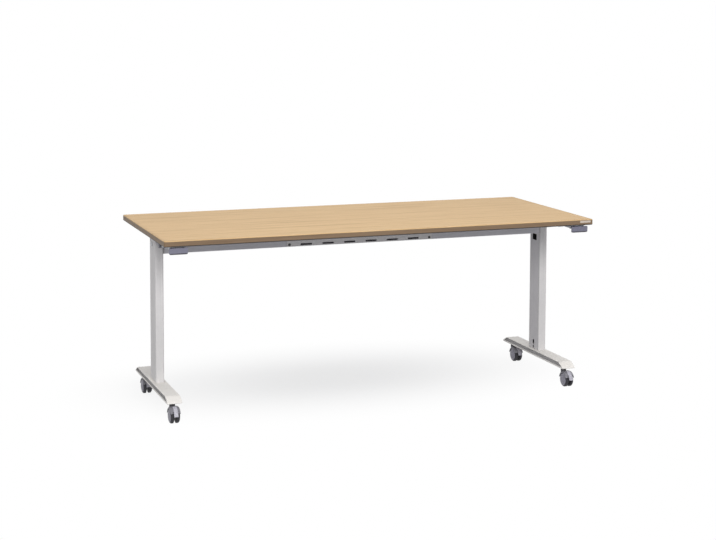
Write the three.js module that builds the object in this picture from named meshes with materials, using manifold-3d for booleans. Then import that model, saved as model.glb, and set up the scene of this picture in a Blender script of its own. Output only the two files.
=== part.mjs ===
// Flip top training table: a wood top that tips up on two T legs, each on two twin-wheel casters.
// Millimetres, +Z up. The origin is on the floor under the middle of the top.
// +X is to the right along the table, -Y is the front, where the two release levers are.
import * as THREE from 'three';
import { mergeVertices } from 'three/addons/utils/BufferGeometryUtils.js';
import Module from 'manifold-3d';

const wasm = await Module();
wasm.setup();

// Driving dimensions of the table
const TABLE_LENGTH = 1800;
const TABLE_DEPTH = 750;
const TABLE_HEIGHT = 720;
const TOP_THICKNESS = 24;
const FIT_GAP = 0.3;
const CUT_PAST = 1;

// Top board and its edge band
const BAND_THICKNESS = 2;
const EDGE_ROUND = 4;
const CORNER_ROUND = 6;
const TOP_UNDERSIDE = TABLE_HEIGHT - TOP_THICKNESS;

// Legs: a column on a foot at each end
const LEG_X = 843;
const LEG_Y = -5;
const COLUMN_WIDTH = 34;
const COLUMN_DEPTH = 96.5;
const COLUMN_Y = 2.25;
const COLUMN_WALL = 2.5;
const COLUMN_ROUND = 6;
const COLUMN_TOP = 688;
const COLUMN_FRONT = COLUMN_Y - COLUMN_DEPTH / 2;
const COLUMN_BACK = COLUMN_Y + COLUMN_DEPTH / 2;
const FOOT_WIDTH = 58;
const FOOT_LENGTH = 570;
const FOOT_BOTTOM = 78;
const FOOT_TOP = 102;
const FOOT_SLOPE_LENGTH = 36;
const FOOT_NOSE = 5;
const FOOT_WALL = 4;
const FOOT_SIDE_WALL = 10;
const FOOT_GROOVE_HEIGHT = 15;
const FOOT_GROOVE_DEPTH = 6;
const FOOT_GROOVE_DROP = 2.5;
const FOOT_GROOVE_END = 7;
const BOSS_RADIUS = 13;
const BASE_HEIGHT = 5;
const BASE_DEPTH = 58;
const BASE_REACH = 11.5;
const BASE_HOLE_RADIUS = 4.2;
const BASE_HOLE_SPAN = 36;

// Cable cover in the inner face of each column
const COVER_WIDTH = 82;
const COVER_TOP = 613;
const COVER_WALL = 2;
const COVER_LEG = 10;
const CABLE_HOLE_DEPTH = 38;
const CABLE_HOLE_HEIGHT = 26;
const CABLE_HOLE_Y = 6;
const CABLE_HOLE_Z = 594;
const EXIT_Y = 5;
const EXIT_SLOT_WIDTH = 14;
const EXIT_SLOT_LOW = 121.5;
const EXIT_SLOT_HIGH = 143.5;
const EXIT_DOT_Z = 112.5;
const EXIT_DOT_RADIUS = 6;

// Flip pivot through the column heads
const PIVOT_Y = 9.5;
const PIVOT_Z = 650;
const PIVOT_RADIUS = 5;
const PIVOT_CLEARANCE = 0.4;
const PIVOT_CAP_RADIUS = 9;
const PIVOT_CAP_HEIGHT = 3;
const HEAD_RADIUS = 41;
const SWING_ROOM = 2;
const SWING_DROP = 8;
const HUB_WIDTH = 20;
const HUB_RADIUS = 15;
const HUB_FLARE = 8;
const WASHER_RADIUS = 12;

// Plate that carries the top on each hub
const PLATE_WIDTH = 60;
const PLATE_THICKNESS = 3;
const PLATE_FRONT = -226;
const PLATE_BACK = 150;

// Cable beam between the columns
const BEAM_FRONT = -46;
const BEAM_BACK = 32;
const BEAM_BOTTOM = 617;
const BEAM_FRONT_TOP = 690;
const BEAM_BACK_TOP = 672;
const BEAM_WALL = 2;
const BEAM_LIP = 18;
const END_PLATE = 3;
const PANEL_LENGTH = 636;
const PANEL_HEIGHT = 63;
const PANEL_RISE = 2;
const PANEL_WINDOW_LENGTH = 580;
const PANEL_WINDOW_SILL = 3;
const PANEL_WINDOW_DROP = 10;
const SLOT_COUNT = 6;
const SLOT_PITCH = 94;
const SLOT_LENGTH = 49;
const SLOT_HEIGHT = 7;
const SLOT_Z = 626;
const BUFFER_X = 560;
const BUFFER_RADIUS = 7;
const BUFFER_CHAMFER = 1;
const END_PLATE_DROP = 4;

// Release lever, lock bar and lock spring under each front corner
const LEVER_WIDTH = 72;
const LEVER_BODY_WIDTH = 53;
const LEVER_FRONT = -368;
const LEVER_PIN_Y = -339;
const LEVER_PIN_Z = 685;
const LEVER_PIN_RADIUS = 2.5;
const LEVER_BOSS_RADIUS = 5;
const LEVER_TOP = 691;
const LEVER_LIP = 666;
const LEVER_ARM_TOP = 684.5;
const LEVER_ARM_THICKNESS = 5;
const LEVER_SIDE_ROOM = 0.5;
const LEVER_EAR = 3;
const LEVER_PLATE_FRONT = 20;
const LEVER_PLATE_BACK = 22;
const FINGER_HALF_WIDTH = 4;
const FINGER_HALF_DEPTH = 3;
const FINGER_REACH = 21;
const EYE_FRONT = 10;
const EYE_BACK = 12;
const EYE_HALF_WIDTH = 10;
const EYE_SLOT_HALF_DEPTH = 7;
const EYE_LOW = LEVER_PIN_Z - 22;
const EYE_HIGH = LEVER_PIN_Z - 9;
const BAR_THICKNESS = 8;
const BAR_Z = 677;
const BOLT_Z = 657;
const BOLT_WITHDRAWN = 2.6;
const BOLT_TIP = COLUMN_FRONT - BOLT_WITHDRAWN;
const STRIKE_BRIDGE = 2.6;
const STRIKE_NOTCH_ROOM = 2;
const BAR_CLEARANCE = 0.6;
const BAR_BEND_FRONT = -128;
const BAR_BEND_LENGTH = 22;
const GUIDE_FRONT = -92;
const GUIDE_BACK = -78;
const GUIDE_HALF_WIDTH = 12;
const GUIDE_FLOOR = 3.8;
const SEAT_HALF_WIDTH = 11;
const SHOULDER_THICKNESS = 5;
const SEAT_THICKNESS = 4;
const SPRING_BACK = -152;
const SPRING_FRONT = -200;
const SPRING_RADIUS = 8;
const SPRING_WIRE = 0.9;
const SPRING_CURLS = 7;

// Twin-wheel casters
const STEM_SPAN = 480;
const CASTER_TRAIL = 29;
const WHEEL_RADIUS = 30;
const WHEEL_INNER = 5;
const WHEEL_OUTER = 21;
const HOOD_INNER = 32;
const HOOD_OUTER = 36;
const HOOD_HALF_WIDTH = 20.5;
const HOOD_OUTSIDE = [[20.5, 27], [20, 30], [17.5, 33], [13, 35], [7, HOOD_OUTER]];
const HOOD_INSIDE = [[18.6, 27.2], [17.2, 30.2], [14.5, HOOD_INNER]];
const HOOD_SPAN = [12, 158];
const HOOD_SECTOR_INNER = 15;
const SOCKET_BELOW_HOOD = 0.5;
const WEB_HALF_WIDTH = 3.6;
const AXLE_RADIUS = 3;
const AXLE_BOSS_RADIUS = 8;
const STEM_RADIUS = 5.5;
const STEM_CLEARANCE = 0.4;
const STEM_DROP = 12;
const COLLAR_RADIUS = 12;
const SOCKET_RADIUS = 11.5;
const SOCKET_TOP = 69.5;
const SOCKET_LOW = 40;
const PEDAL_HALF_WIDTH = 8;
const PEDAL_EAR = 3;
const PEDAL_EAR_RADIUS = 4.6;
const PEDAL_PIN_RADIUS = 2;
const TONGUE_REACH = 10;
const TONGUE_DROP = 16;
const TONGUE_THICKNESS = 2.8;
const PEDAL_SPAN = [108, 152];
const PEDAL_HINGE_ANGLE = THREE.MathUtils.degToRad(150);
const PEDAL_HINGE_RADIUS = 38.4;

// Finishes
const FINISH = {
  oak: { color: 0xd8b98e, roughness: 0.45, metalness: 0 },
  edge: { color: 0xb89468, roughness: 0.5, metalness: 0 },
  silver: { color: 0xb9b8b8, roughness: 0.42, metalness: 0.35 },
  pale: { color: 0xe6e4df, roughness: 0.5, metalness: 0.1 },
  steel: { color: 0x8d9096, roughness: 0.35, metalness: 0.9 },
  lever: { color: 0x7e7c88, roughness: 0.5, metalness: 0 },
  hood: { color: 0x4b4b52, roughness: 0.55, metalness: 0 },
  wheel: { color: 0x2b2b30, roughness: 0.65, metalness: 0 },
  pedal: { color: 0xc9c8ce, roughness: 0.5, metalness: 0 },
  rubber: { color: 0x1d1d1f, roughness: 0.9, metalness: 0 },
};

const table = new THREE.Group();
table.name = 'flip_top_training_table';

// Closed geometry to a solid for joining and cutting
function solid(geometry) {
  const bare = geometry.clone();
  for (const name of Object.keys(bare.attributes)) {
    if (name !== 'position') bare.deleteAttribute(name);
  }
  const merged = mergeVertices(bare, 1e-3);
  const corners = merged.index.array;
  const kept = [];
  for (let i = 0; i < corners.length; i += 3) {
    const [a, b, c] = [corners[i], corners[i + 1], corners[i + 2]];
    if (a !== b && b !== c && c !== a) kept.push(a, b, c);
  }
  return new wasm.Manifold(new wasm.Mesh({
    numProp: 3,
    vertProperties: new Float32Array(merged.attributes.position.array),
    triVerts: new Uint32Array(kept),
  }));
}

// Solid back to a geometry that a mesh can carry
function geometryOf(body) {
  const mesh = body.getMesh();
  const geometry = new THREE.BufferGeometry();
  geometry.setAttribute('position', new THREE.BufferAttribute(mesh.vertProperties, 3));
  geometry.setIndex(new THREE.BufferAttribute(mesh.triVerts, 1));
  geometry.computeVertexNormals();
  return geometry;
}

function addPart(name, shape, finish) {
  const geometry = shape.isBufferGeometry ? shape : geometryOf(shape);
  const mesh = new THREE.Mesh(geometry, new THREE.MeshStandardMaterial(FINISH[finish]));
  mesh.name = name;
  table.add(mesh);
}

// Box between two corners, in any order of its bounds
function block([x0, x1], [y0, y1], [z0, z1]) {
  const size = [x1 - x0, y1 - y0, z1 - z0].map(Math.abs);
  const middle = [(x0 + x1) / 2, (y0 + y1) / 2, (z0 + z1) / 2];
  return solid(new THREE.BoxGeometry(...size).translate(...middle));
}

// Outline in (y, z) pushed along X
function acrossX(outline, [x0, x1]) {
  const polygon = (points) => new THREE.Shape(points.map(([y, z]) => new THREE.Vector2(y, z)));
  const shape = Array.isArray(outline) ? polygon(outline) : outline;
  const options = { depth: Math.abs(x1 - x0), bevelEnabled: false, curveSegments: 6 };
  const geometry = new THREE.ExtrudeGeometry(shape, options);
  const turn = new THREE.Matrix4().makeBasis(
    new THREE.Vector3(0, 1, 0),
    new THREE.Vector3(0, 0, 1),
    new THREE.Vector3(1, 0, 0),
  );
  return solid(geometry.applyMatrix4(turn).translate(Math.min(x0, x1), 0, 0));
}

// Outline in (x, y) pushed along Z
function upZ(shape, [z0, z1]) {
  const options = { depth: z1 - z0, bevelEnabled: false, curveSegments: 2 };
  return solid(new THREE.ExtrudeGeometry(shape, options).translate(0, 0, z0));
}

// Round bar along X
function barX(radius, [x0, x1], y, z, sides = 14) {
  const geometry = new THREE.CylinderGeometry(radius, radius, Math.abs(x1 - x0), sides);
  return solid(geometry.rotateZ(-Math.PI / 2).translate((x0 + x1) / 2, y, z));
}

// Profile of [radius, height] points turned about an upright axis
function turned(profile, x, y, sides = 14) {
  const points = profile.map(([r, z]) => new THREE.Vector2(r, z));
  return solid(new THREE.LatheGeometry(points, sides).rotateX(Math.PI / 2).translate(x, y, 0));
}

// Upright round post of one radius
function post(radius, [low, high], x, y) {
  return turned([[0, low], [radius, low], [radius, high], [0, high]], x, y);
}

function roundedRectangle(x, y, width, depth, round) {
  const [left, right] = [x - width / 2, x + width / 2];
  const [near, far] = [y - depth / 2, y + depth / 2];
  const shape = new THREE.Shape();
  shape.moveTo(left + round, near);
  shape.lineTo(right - round, near);
  shape.absarc(right - round, near + round, round, -Math.PI / 2, 0);
  shape.lineTo(right, far - round);
  shape.absarc(right - round, far - round, round, 0, Math.PI / 2);
  shape.lineTo(left + round, far);
  shape.absarc(left + round, far - round, round, Math.PI / 2, Math.PI);
  shape.lineTo(left, near + round);
  shape.absarc(left + round, near + round, round, Math.PI, Math.PI * 1.5);
  return shape;
}

// Part of a ring in (y, z), between two angles from +Y towards +Z
function ringSector(y, z, inner, outer, start, end) {
  const shape = new THREE.Shape();
  shape.absarc(y, z, outer, start, end, false);
  shape.absarc(y, z, inner, end, start, true);
  return shape;
}

// Bounds at a leg, from offsets towards the outside of the table
function outward(side, from, to) {
  return [side * (LEG_X + from), side * (LEG_X + to)];
}

// Top board inside a rounded edge band
function buildTop() {
  const round = EDGE_ROUND;
  const outline = roundedRectangle(
    0, 0, TABLE_LENGTH - 2 * round, TABLE_DEPTH - 2 * round, CORNER_ROUND - round,
  );
  const slab = solid(new THREE.ExtrudeGeometry(outline, {
    depth: TOP_THICKNESS - 2 * round,
    bevelEnabled: true,
    bevelSize: round,
    bevelThickness: round,
    bevelSegments: 3,
    curveSegments: 3,
  }).translate(0, 0, TOP_UNDERSIDE + round));
  const halfLength = TABLE_LENGTH / 2 - round - BAND_THICKNESS;
  const halfDepth = TABLE_DEPTH / 2 - round - BAND_THICKNESS;
  const past = [TOP_UNDERSIDE - CUT_PAST, TABLE_HEIGHT + CUT_PAST];
  const hollow = block([-halfLength, halfLength], [-halfDepth, halfDepth], past);
  addPart('edge_band', slab.subtract(hollow), 'edge');
  const boardX = halfLength - FIT_GAP;
  const boardY = halfDepth - FIT_GAP;
  const board = block([-boardX, boardX], [-boardY, boardY], [TOP_UNDERSIDE, TABLE_HEIGHT]);
  addPart('top_board', board, 'oak');
}

// Column: a tube whose inner face is open for the cable cover and whose head is open for the hub
function buildColumn(side, label) {
  const bottom = FOOT_TOP + FIT_GAP;
  const x = side * LEG_X;
  const bore = [COLUMN_WIDTH - 2 * COLUMN_WALL, COLUMN_DEPTH - 2 * COLUMN_WALL, COLUMN_ROUND - COLUMN_WALL];
  const tube = upZ(
    roundedRectangle(x, COLUMN_Y, COLUMN_WIDTH, COLUMN_DEPTH, COLUMN_ROUND), [bottom, COLUMN_TOP],
  ).subtract(upZ(roundedRectangle(x, COLUMN_Y, ...bore), [bottom - CUT_PAST, COLUMN_TOP + CUT_PAST]));
  const half = COLUMN_WIDTH / 2;
  const coverHalf = COVER_WIDTH / 2 + FIT_GAP;
  const window = block(
    outward(side, -half - CUT_PAST, -half + COLUMN_WALL + CUT_PAST),
    [COLUMN_Y - coverHalf, COLUMN_Y + coverHalf],
    [bottom - CUT_PAST, COVER_TOP + FIT_GAP],
  );
  const swing = block(
    outward(side, -HUB_WIDTH / 2 - SWING_ROOM, HUB_WIDTH / 2 + SWING_ROOM),
    [COLUMN_BACK - COLUMN_WALL - CUT_PAST, COLUMN_BACK + CUT_PAST],
    [PIVOT_Z - HUB_RADIUS - SWING_DROP, COLUMN_TOP + CUT_PAST],
  );
  const pivot = barX(
    PIVOT_RADIUS + PIVOT_CLEARANCE, outward(side, -half - CUT_PAST, half + CUT_PAST), PIVOT_Y, PIVOT_Z,
  );
  const column = [window, swing, pivot, headCorner(side), ...strikeCuts(side)]
    .reduce((body, cut) => body.subtract(cut), tube);
  addPart(`column_${label}`, column, 'silver');
}

// What is cut off the back of a column's head, so that the top's plate can turn past it
function headCorner(side) {
  const back = COLUMN_BACK + CUT_PAST;
  const high = COLUMN_TOP + CUT_PAST;
  const across = outward(side, -COLUMN_WIDTH / 2 - CUT_PAST, COLUMN_WIDTH / 2 + CUT_PAST);
  const corner = acrossX([[PIVOT_Y, PIVOT_Z], [back, PIVOT_Z], [back, high], [PIVOT_Y, high]], across);
  return corner.subtract(barX(HEAD_RADIUS, across, PIVOT_Y, PIVOT_Z, 48));
}

// Strike hole for the bolt in a column's front wall, and the notch above that lets the bolt swing out
function strikeCuts(side) {
  const half = BAR_THICKNESS / 2 + BAR_CLEARANCE;
  const wall = [COLUMN_FRONT - CUT_PAST, COLUMN_FRONT + COLUMN_WALL + CUT_PAST];
  const wide = half + STRIKE_NOTCH_ROOM;
  return [
    block(outward(side, -half, half), wall, [BOLT_Z - half, BOLT_Z + half]),
    block(outward(side, -wide, wide), wall, [BOLT_Z + half + STRIKE_BRIDGE, COLUMN_TOP + CUT_PAST]),
  ];
}

// Cover that snaps into the column's inner face, with the cable hole, the exit slot and a screw hole
function buildCover(side, label) {
  const face = -COLUMN_WIDTH / 2 + FIT_GAP;
  const half = COVER_WIDTH / 2;
  const span = [FOOT_TOP + 2 * FIT_GAP, COVER_TOP];
  let cover = block(outward(side, face, face + COVER_WALL), [COLUMN_Y - half, COLUMN_Y + half], span);
  const legX = outward(side, face, face + COVER_LEG);
  for (const end of [-1, 1]) {
    cover = cover.add(block(legX, [COLUMN_Y + end * half, COLUMN_Y + end * (half - COVER_WALL)], span));
  }
  const through = outward(side, face - CUT_PAST, face + COVER_WALL + CUT_PAST);
  const hole = block(
    through,
    [CABLE_HOLE_Y - CABLE_HOLE_DEPTH / 2, CABLE_HOLE_Y + CABLE_HOLE_DEPTH / 2],
    [CABLE_HOLE_Z - CABLE_HOLE_HEIGHT / 2, CABLE_HOLE_Z + CABLE_HOLE_HEIGHT / 2],
  );
  const slotHalf = EXIT_SLOT_WIDTH / 2;
  const slot = block(through, [EXIT_Y - slotHalf, EXIT_Y + slotHalf], [EXIT_SLOT_LOW, EXIT_SLOT_HIGH]);
  const dot = barX(EXIT_DOT_RADIUS, through, EXIT_Y, EXIT_DOT_Z, 16);
  addPart(`column_cover_${label}`, cover.subtract(hole).subtract(slot).subtract(dot), 'silver');
}

// Block inside the column bottom that takes the bolts from the foot
function buildColumnBase(side, label) {
  const low = FOOT_TOP + FIT_GAP;
  const high = low + BASE_HEIGHT;
  let base = block(
    outward(side, -BASE_REACH, BASE_REACH), [LEG_Y - BASE_DEPTH / 2, LEG_Y + BASE_DEPTH / 2], [low, high],
  );
  for (const end of [-1, 1]) {
    const y = LEG_Y + end * BASE_HOLE_SPAN / 2;
    base = base.subtract(post(BASE_HOLE_RADIUS, [low - CUT_PAST, high + CUT_PAST], side * LEG_X, y));
  }
  addPart(`column_base_${label}`, base, 'steel');
}

// Foot: a hollow bar with sloping ends, a groove along each side and a boss for each caster stem
function footOutline(inset) {
  const half = FOOT_LENGTH / 2 - inset;
  const flat = FOOT_LENGTH / 2 - FOOT_SLOPE_LENGTH - inset * 0.6;
  const bottom = inset ? FOOT_BOTTOM - 1 : FOOT_BOTTOM;
  const nose = FOOT_BOTTOM + FOOT_NOSE - inset * 0.4;
  const top = FOOT_TOP - inset;
  return [
    [LEG_Y - half, bottom],
    [LEG_Y + half, bottom],
    [LEG_Y + half, nose],
    [LEG_Y + flat, top],
    [LEG_Y - flat, top],
    [LEG_Y - half, nose],
  ];
}

// Outline of the long groove in a foot's side, its ends sloping like the foot's
function grooveOutline() {
  const high = FOOT_TOP - FOOT_GROOVE_DROP;
  const low = high - FOOT_GROOVE_HEIGHT;
  const slope = FOOT_SLOPE_LENGTH / (FOOT_TOP - FOOT_BOTTOM - FOOT_NOSE);
  const reach = (z) => FOOT_LENGTH / 2 - FOOT_GROOVE_END - (z - FOOT_BOTTOM - FOOT_NOSE) * slope;
  return [
    [LEG_Y - reach(low), low],
    [LEG_Y + reach(low), low],
    [LEG_Y + reach(high), high],
    [LEG_Y - reach(high), high],
  ];
}

function buildFoot(side, label) {
  const half = FOOT_WIDTH / 2;
  let foot = acrossX(footOutline(0), outward(side, -half, half))
    .subtract(acrossX(footOutline(FOOT_WALL), outward(side, -half + FOOT_SIDE_WALL, half - FOOT_SIDE_WALL)));
  for (const end of [-1, 1]) {
    const span = outward(side, end * (half + CUT_PAST), end * (half - FOOT_GROOVE_DEPTH));
    foot = foot.subtract(acrossX(grooveOutline(), span));
  }
  const bossTop = FOOT_TOP - FOOT_WALL / 2;
  for (const end of [-1, 1]) {
    const y = LEG_Y + end * STEM_SPAN / 2;
    const boss = post(BOSS_RADIUS, [FOOT_BOTTOM, bossTop], side * LEG_X, y);
    const boreSpan = [FOOT_BOTTOM - CUT_PAST, FOOT_TOP - FOOT_WALL];
    const bore = post(STEM_RADIUS + STEM_CLEARANCE, boreSpan, side * LEG_X, y);
    foot = foot.add(boss).subtract(bore);
  }
  addPart(`foot_${label}`, foot, 'pale');
}

// Beam: a folded channel that holds the cables, its front open behind the slotted panel
function buildBeam() {
  const reach = LEG_X - COLUMN_WIDTH / 2 - END_PLATE - 2 * FIT_GAP;
  const outline = [
    [BEAM_FRONT, BEAM_BOTTOM],
    [BEAM_BACK, BEAM_BOTTOM],
    [BEAM_BACK, BEAM_BACK_TOP],
    [BEAM_BACK - BEAM_WALL, BEAM_BACK_TOP],
    [BEAM_BACK - BEAM_WALL, BEAM_BOTTOM + BEAM_WALL],
    [BEAM_FRONT + BEAM_WALL, BEAM_BOTTOM + BEAM_WALL],
    [BEAM_FRONT + BEAM_WALL, BEAM_FRONT_TOP - BEAM_WALL],
    [BEAM_FRONT + BEAM_LIP, BEAM_FRONT_TOP - BEAM_WALL],
    [BEAM_FRONT + BEAM_LIP, BEAM_FRONT_TOP],
    [BEAM_FRONT, BEAM_FRONT_TOP],
  ];
  const windowHalf = PANEL_WINDOW_LENGTH / 2;
  const panelLow = BEAM_BOTTOM + PANEL_RISE;
  const window = block(
    [-windowHalf, windowHalf],
    [BEAM_FRONT - CUT_PAST, BEAM_FRONT + BEAM_WALL + CUT_PAST],
    [panelLow + PANEL_WINDOW_SILL, panelLow + PANEL_HEIGHT - PANEL_WINDOW_DROP],
  );
  addPart('cable_beam', acrossX(outline, [-reach, reach]).subtract(window), 'silver');

  const panelY = [BEAM_FRONT - FIT_GAP - BEAM_WALL, BEAM_FRONT - FIT_GAP];
  let panel = block([-PANEL_LENGTH / 2, PANEL_LENGTH / 2], panelY, [panelLow, panelLow + PANEL_HEIGHT]);
  for (let i = 0; i < SLOT_COUNT; i += 1) {
    const x = (i - (SLOT_COUNT - 1) / 2) * SLOT_PITCH;
    const slot = block(
      [x - SLOT_LENGTH / 2, x + SLOT_LENGTH / 2],
      [panelY[0] - CUT_PAST, panelY[1] + CUT_PAST],
      [SLOT_Z - SLOT_HEIGHT / 2, SLOT_Z + SLOT_HEIGHT / 2],
    );
    panel = panel.subtract(slot);
  }
  addPart('slotted_panel', panel, 'silver');

  for (const [side, label] of SIDES) {
    const bounds = outward(side, -COLUMN_WIDTH / 2 - FIT_GAP - END_PLATE, -COLUMN_WIDTH / 2 - FIT_GAP);
    const plate = [
      [BEAM_FRONT, BEAM_BOTTOM],
      [BEAM_BACK, BEAM_BOTTOM],
      [BEAM_BACK, BEAM_BACK_TOP],
      [PIVOT_Y, BEAM_FRONT_TOP - END_PLATE_DROP],
      [BEAM_FRONT, BEAM_FRONT_TOP - END_PLATE_DROP],
    ];
    addPart(`beam_end_plate_${label}`, acrossX(plate, bounds), 'silver');
    const low = BEAM_FRONT_TOP + FIT_GAP;
    const high = TOP_UNDERSIDE - FIT_GAP;
    const profile = [
      [0, low],
      [BUFFER_RADIUS, low],
      [BUFFER_RADIUS, high - BUFFER_CHAMFER],
      [BUFFER_RADIUS - BUFFER_CHAMFER, high],
      [0, high],
    ];
    const buffer = turned(profile, side * BUFFER_X, BEAM_FRONT + (BEAM_LIP + BEAM_WALL) / 2);
    addPart(`top_buffer_${label}`, buffer, 'rubber');
  }
}

// Plate under the top, with a hub that turns on the pivot pin and a tab that seats the lock spring
function buildTopBracket(side, label) {
  const high = TOP_UNDERSIDE - FIT_GAP;
  const low = high - PLATE_THICKNESS;
  const plateHalf = PLATE_WIDTH / 2;
  const plate = block(outward(side, -plateHalf, plateHalf), [PLATE_FRONT, PLATE_BACK], [low, high]);
  const arm = acrossX(
    [
      [PIVOT_Y - HUB_RADIUS, PIVOT_Z],
      [PIVOT_Y + HUB_RADIUS, PIVOT_Z],
      [PIVOT_Y + HUB_RADIUS + HUB_FLARE, low + CUT_PAST],
      [PIVOT_Y - HUB_RADIUS - HUB_FLARE, low + CUT_PAST],
    ],
    outward(side, -HUB_WIDTH / 2, HUB_WIDTH / 2),
  );
  const hub = barX(HUB_RADIUS, outward(side, -HUB_WIDTH / 2, HUB_WIDTH / 2), PIVOT_Y, PIVOT_Z, 20);
  const bore = barX(PIVOT_RADIUS + PIVOT_CLEARANCE, outward(side, -HUB_WIDTH, HUB_WIDTH), PIVOT_Y, PIVOT_Z);
  const room = BAR_THICKNESS / 2 + BAR_CLEARANCE;
  const seat = block(
    outward(side, -SEAT_HALF_WIDTH, SEAT_HALF_WIDTH),
    [SPRING_FRONT - SEAT_THICKNESS, SPRING_FRONT],
    [BAR_Z - SEAT_HALF_WIDTH, low + CUT_PAST],
  );
  const seatWindow = block(
    outward(side, -room, room),
    [SPRING_FRONT - SEAT_THICKNESS - CUT_PAST, SPRING_FRONT + CUT_PAST],
    [BAR_Z - room, BAR_Z + room],
  );
  const bracket = plate.add(arm).add(hub).add(seat).subtract(bore).subtract(seatWindow);
  addPart(`top_bracket_${label}`, bracket, 'steel');
}

// Pivot pin with its cap on the column's outer face, and a washer at each side of the hub
function buildPivot(side, label) {
  const half = COLUMN_WIDTH / 2;
  const capX = half + FIT_GAP;
  const pin = barX(PIVOT_RADIUS, outward(side, -half + CUT_PAST, capX + CUT_PAST), PIVOT_Y, PIVOT_Z);
  const cap = barX(PIVOT_CAP_RADIUS, outward(side, capX, capX + PIVOT_CAP_HEIGHT), PIVOT_Y, PIVOT_Z, 18);
  addPart(`pivot_pin_${label}`, pin.add(cap), 'steel');
  const inside = half - COLUMN_WALL - FIT_GAP;
  for (const [end, place] of [[-1, 'inner'], [1, 'outer']]) {
    const bounds = outward(side, end * (HUB_WIDTH / 2 + FIT_GAP), end * inside);
    const washer = barX(WASHER_RADIUS, bounds, PIVOT_Y, PIVOT_Z)
      .subtract(barX(PIVOT_RADIUS + PIVOT_CLEARANCE, outward(side, -half, half), PIVOT_Y, PIVOT_Z));
    addPart(`pivot_washer_${place}_${label}`, washer, 'rubber');
  }
}

// Bracket under the top with two ears, and the pin through them that the lever turns on
function buildLeverMount(side, label) {
  const high = TOP_UNDERSIDE - FIT_GAP;
  const earInner = LEVER_BODY_WIDTH / 2 + LEVER_SIDE_ROOM;
  const earOuter = earInner + LEVER_EAR;
  let bracket = block(
    outward(side, -earOuter, earOuter),
    [LEVER_PIN_Y - LEVER_PLATE_FRONT, LEVER_PIN_Y + LEVER_PLATE_BACK],
    [high - LEVER_EAR, high],
  );
  const earOutline = [
    [LEVER_PIN_Y - 9, high - CUT_PAST],
    [LEVER_PIN_Y - 5, LEVER_PIN_Z - 6],
    [LEVER_PIN_Y + 5, LEVER_PIN_Z - 6],
    [LEVER_PIN_Y + 14, high - CUT_PAST],
  ];
  for (const end of [-1, 1]) {
    bracket = bracket.add(acrossX(earOutline, outward(side, end * earInner, end * earOuter)));
  }
  addPart(`lever_bracket_${label}`, bracket.subtract(leverPinHole(side)), 'steel');
  const pinEnds = outward(side, -earOuter - CUT_PAST, earOuter + CUT_PAST);
  addPart(`lever_pin_${label}`, barX(LEVER_PIN_RADIUS, pinEnds, LEVER_PIN_Y, LEVER_PIN_Z, 10), 'steel');
}

function leverPinHole(side) {
  const across = outward(side, -LEVER_WIDTH, LEVER_WIDTH);
  return barX(LEVER_PIN_RADIUS + PIVOT_CLEARANCE, across, LEVER_PIN_Y, LEVER_PIN_Z);
}

// Release lever: a paddle with a pull lip, an arm to the pin and a finger that draws the lock bar
function buildLever(side, label) {
  const front = LEVER_FRONT;
  const body = outward(side, -LEVER_BODY_WIDTH / 2, LEVER_BODY_WIDTH / 2);
  const paddle = acrossX(
    [
      [front + 2, LEVER_LIP],
      [front + 11, LEVER_LIP],
      [front + 11, LEVER_LIP + 3],
      [front + 6, LEVER_LIP + 4],
      [front + 6, LEVER_TOP],
      [front + 2, LEVER_TOP],
      [front, LEVER_TOP - 2],
      [front, LEVER_LIP + 2],
    ],
    outward(side, -LEVER_WIDTH / 2, LEVER_WIDTH / 2),
  );
  const arm = acrossX(
    [
      [front + 5, LEVER_ARM_TOP - LEVER_ARM_THICKNESS],
      [LEVER_PIN_Y, LEVER_PIN_Z - LEVER_BOSS_RADIUS],
      [LEVER_PIN_Y, LEVER_PIN_Z + LEVER_BOSS_RADIUS],
      [front + 5, LEVER_ARM_TOP],
    ],
    body,
  );
  const boss = barX(LEVER_BOSS_RADIUS, body, LEVER_PIN_Y, LEVER_PIN_Z, 14);
  const finger = block(
    outward(side, -FINGER_HALF_WIDTH, FINGER_HALF_WIDTH),
    [LEVER_PIN_Y - FINGER_HALF_DEPTH, LEVER_PIN_Y + FINGER_HALF_DEPTH],
    [LEVER_PIN_Z - FINGER_REACH, LEVER_PIN_Z - LEVER_BOSS_RADIUS + CUT_PAST],
  );
  const lever = paddle.add(arm).add(boss).add(finger).subtract(leverPinHole(side));
  addPart(`release_lever_${label}`, lever, 'lever');
}

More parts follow.
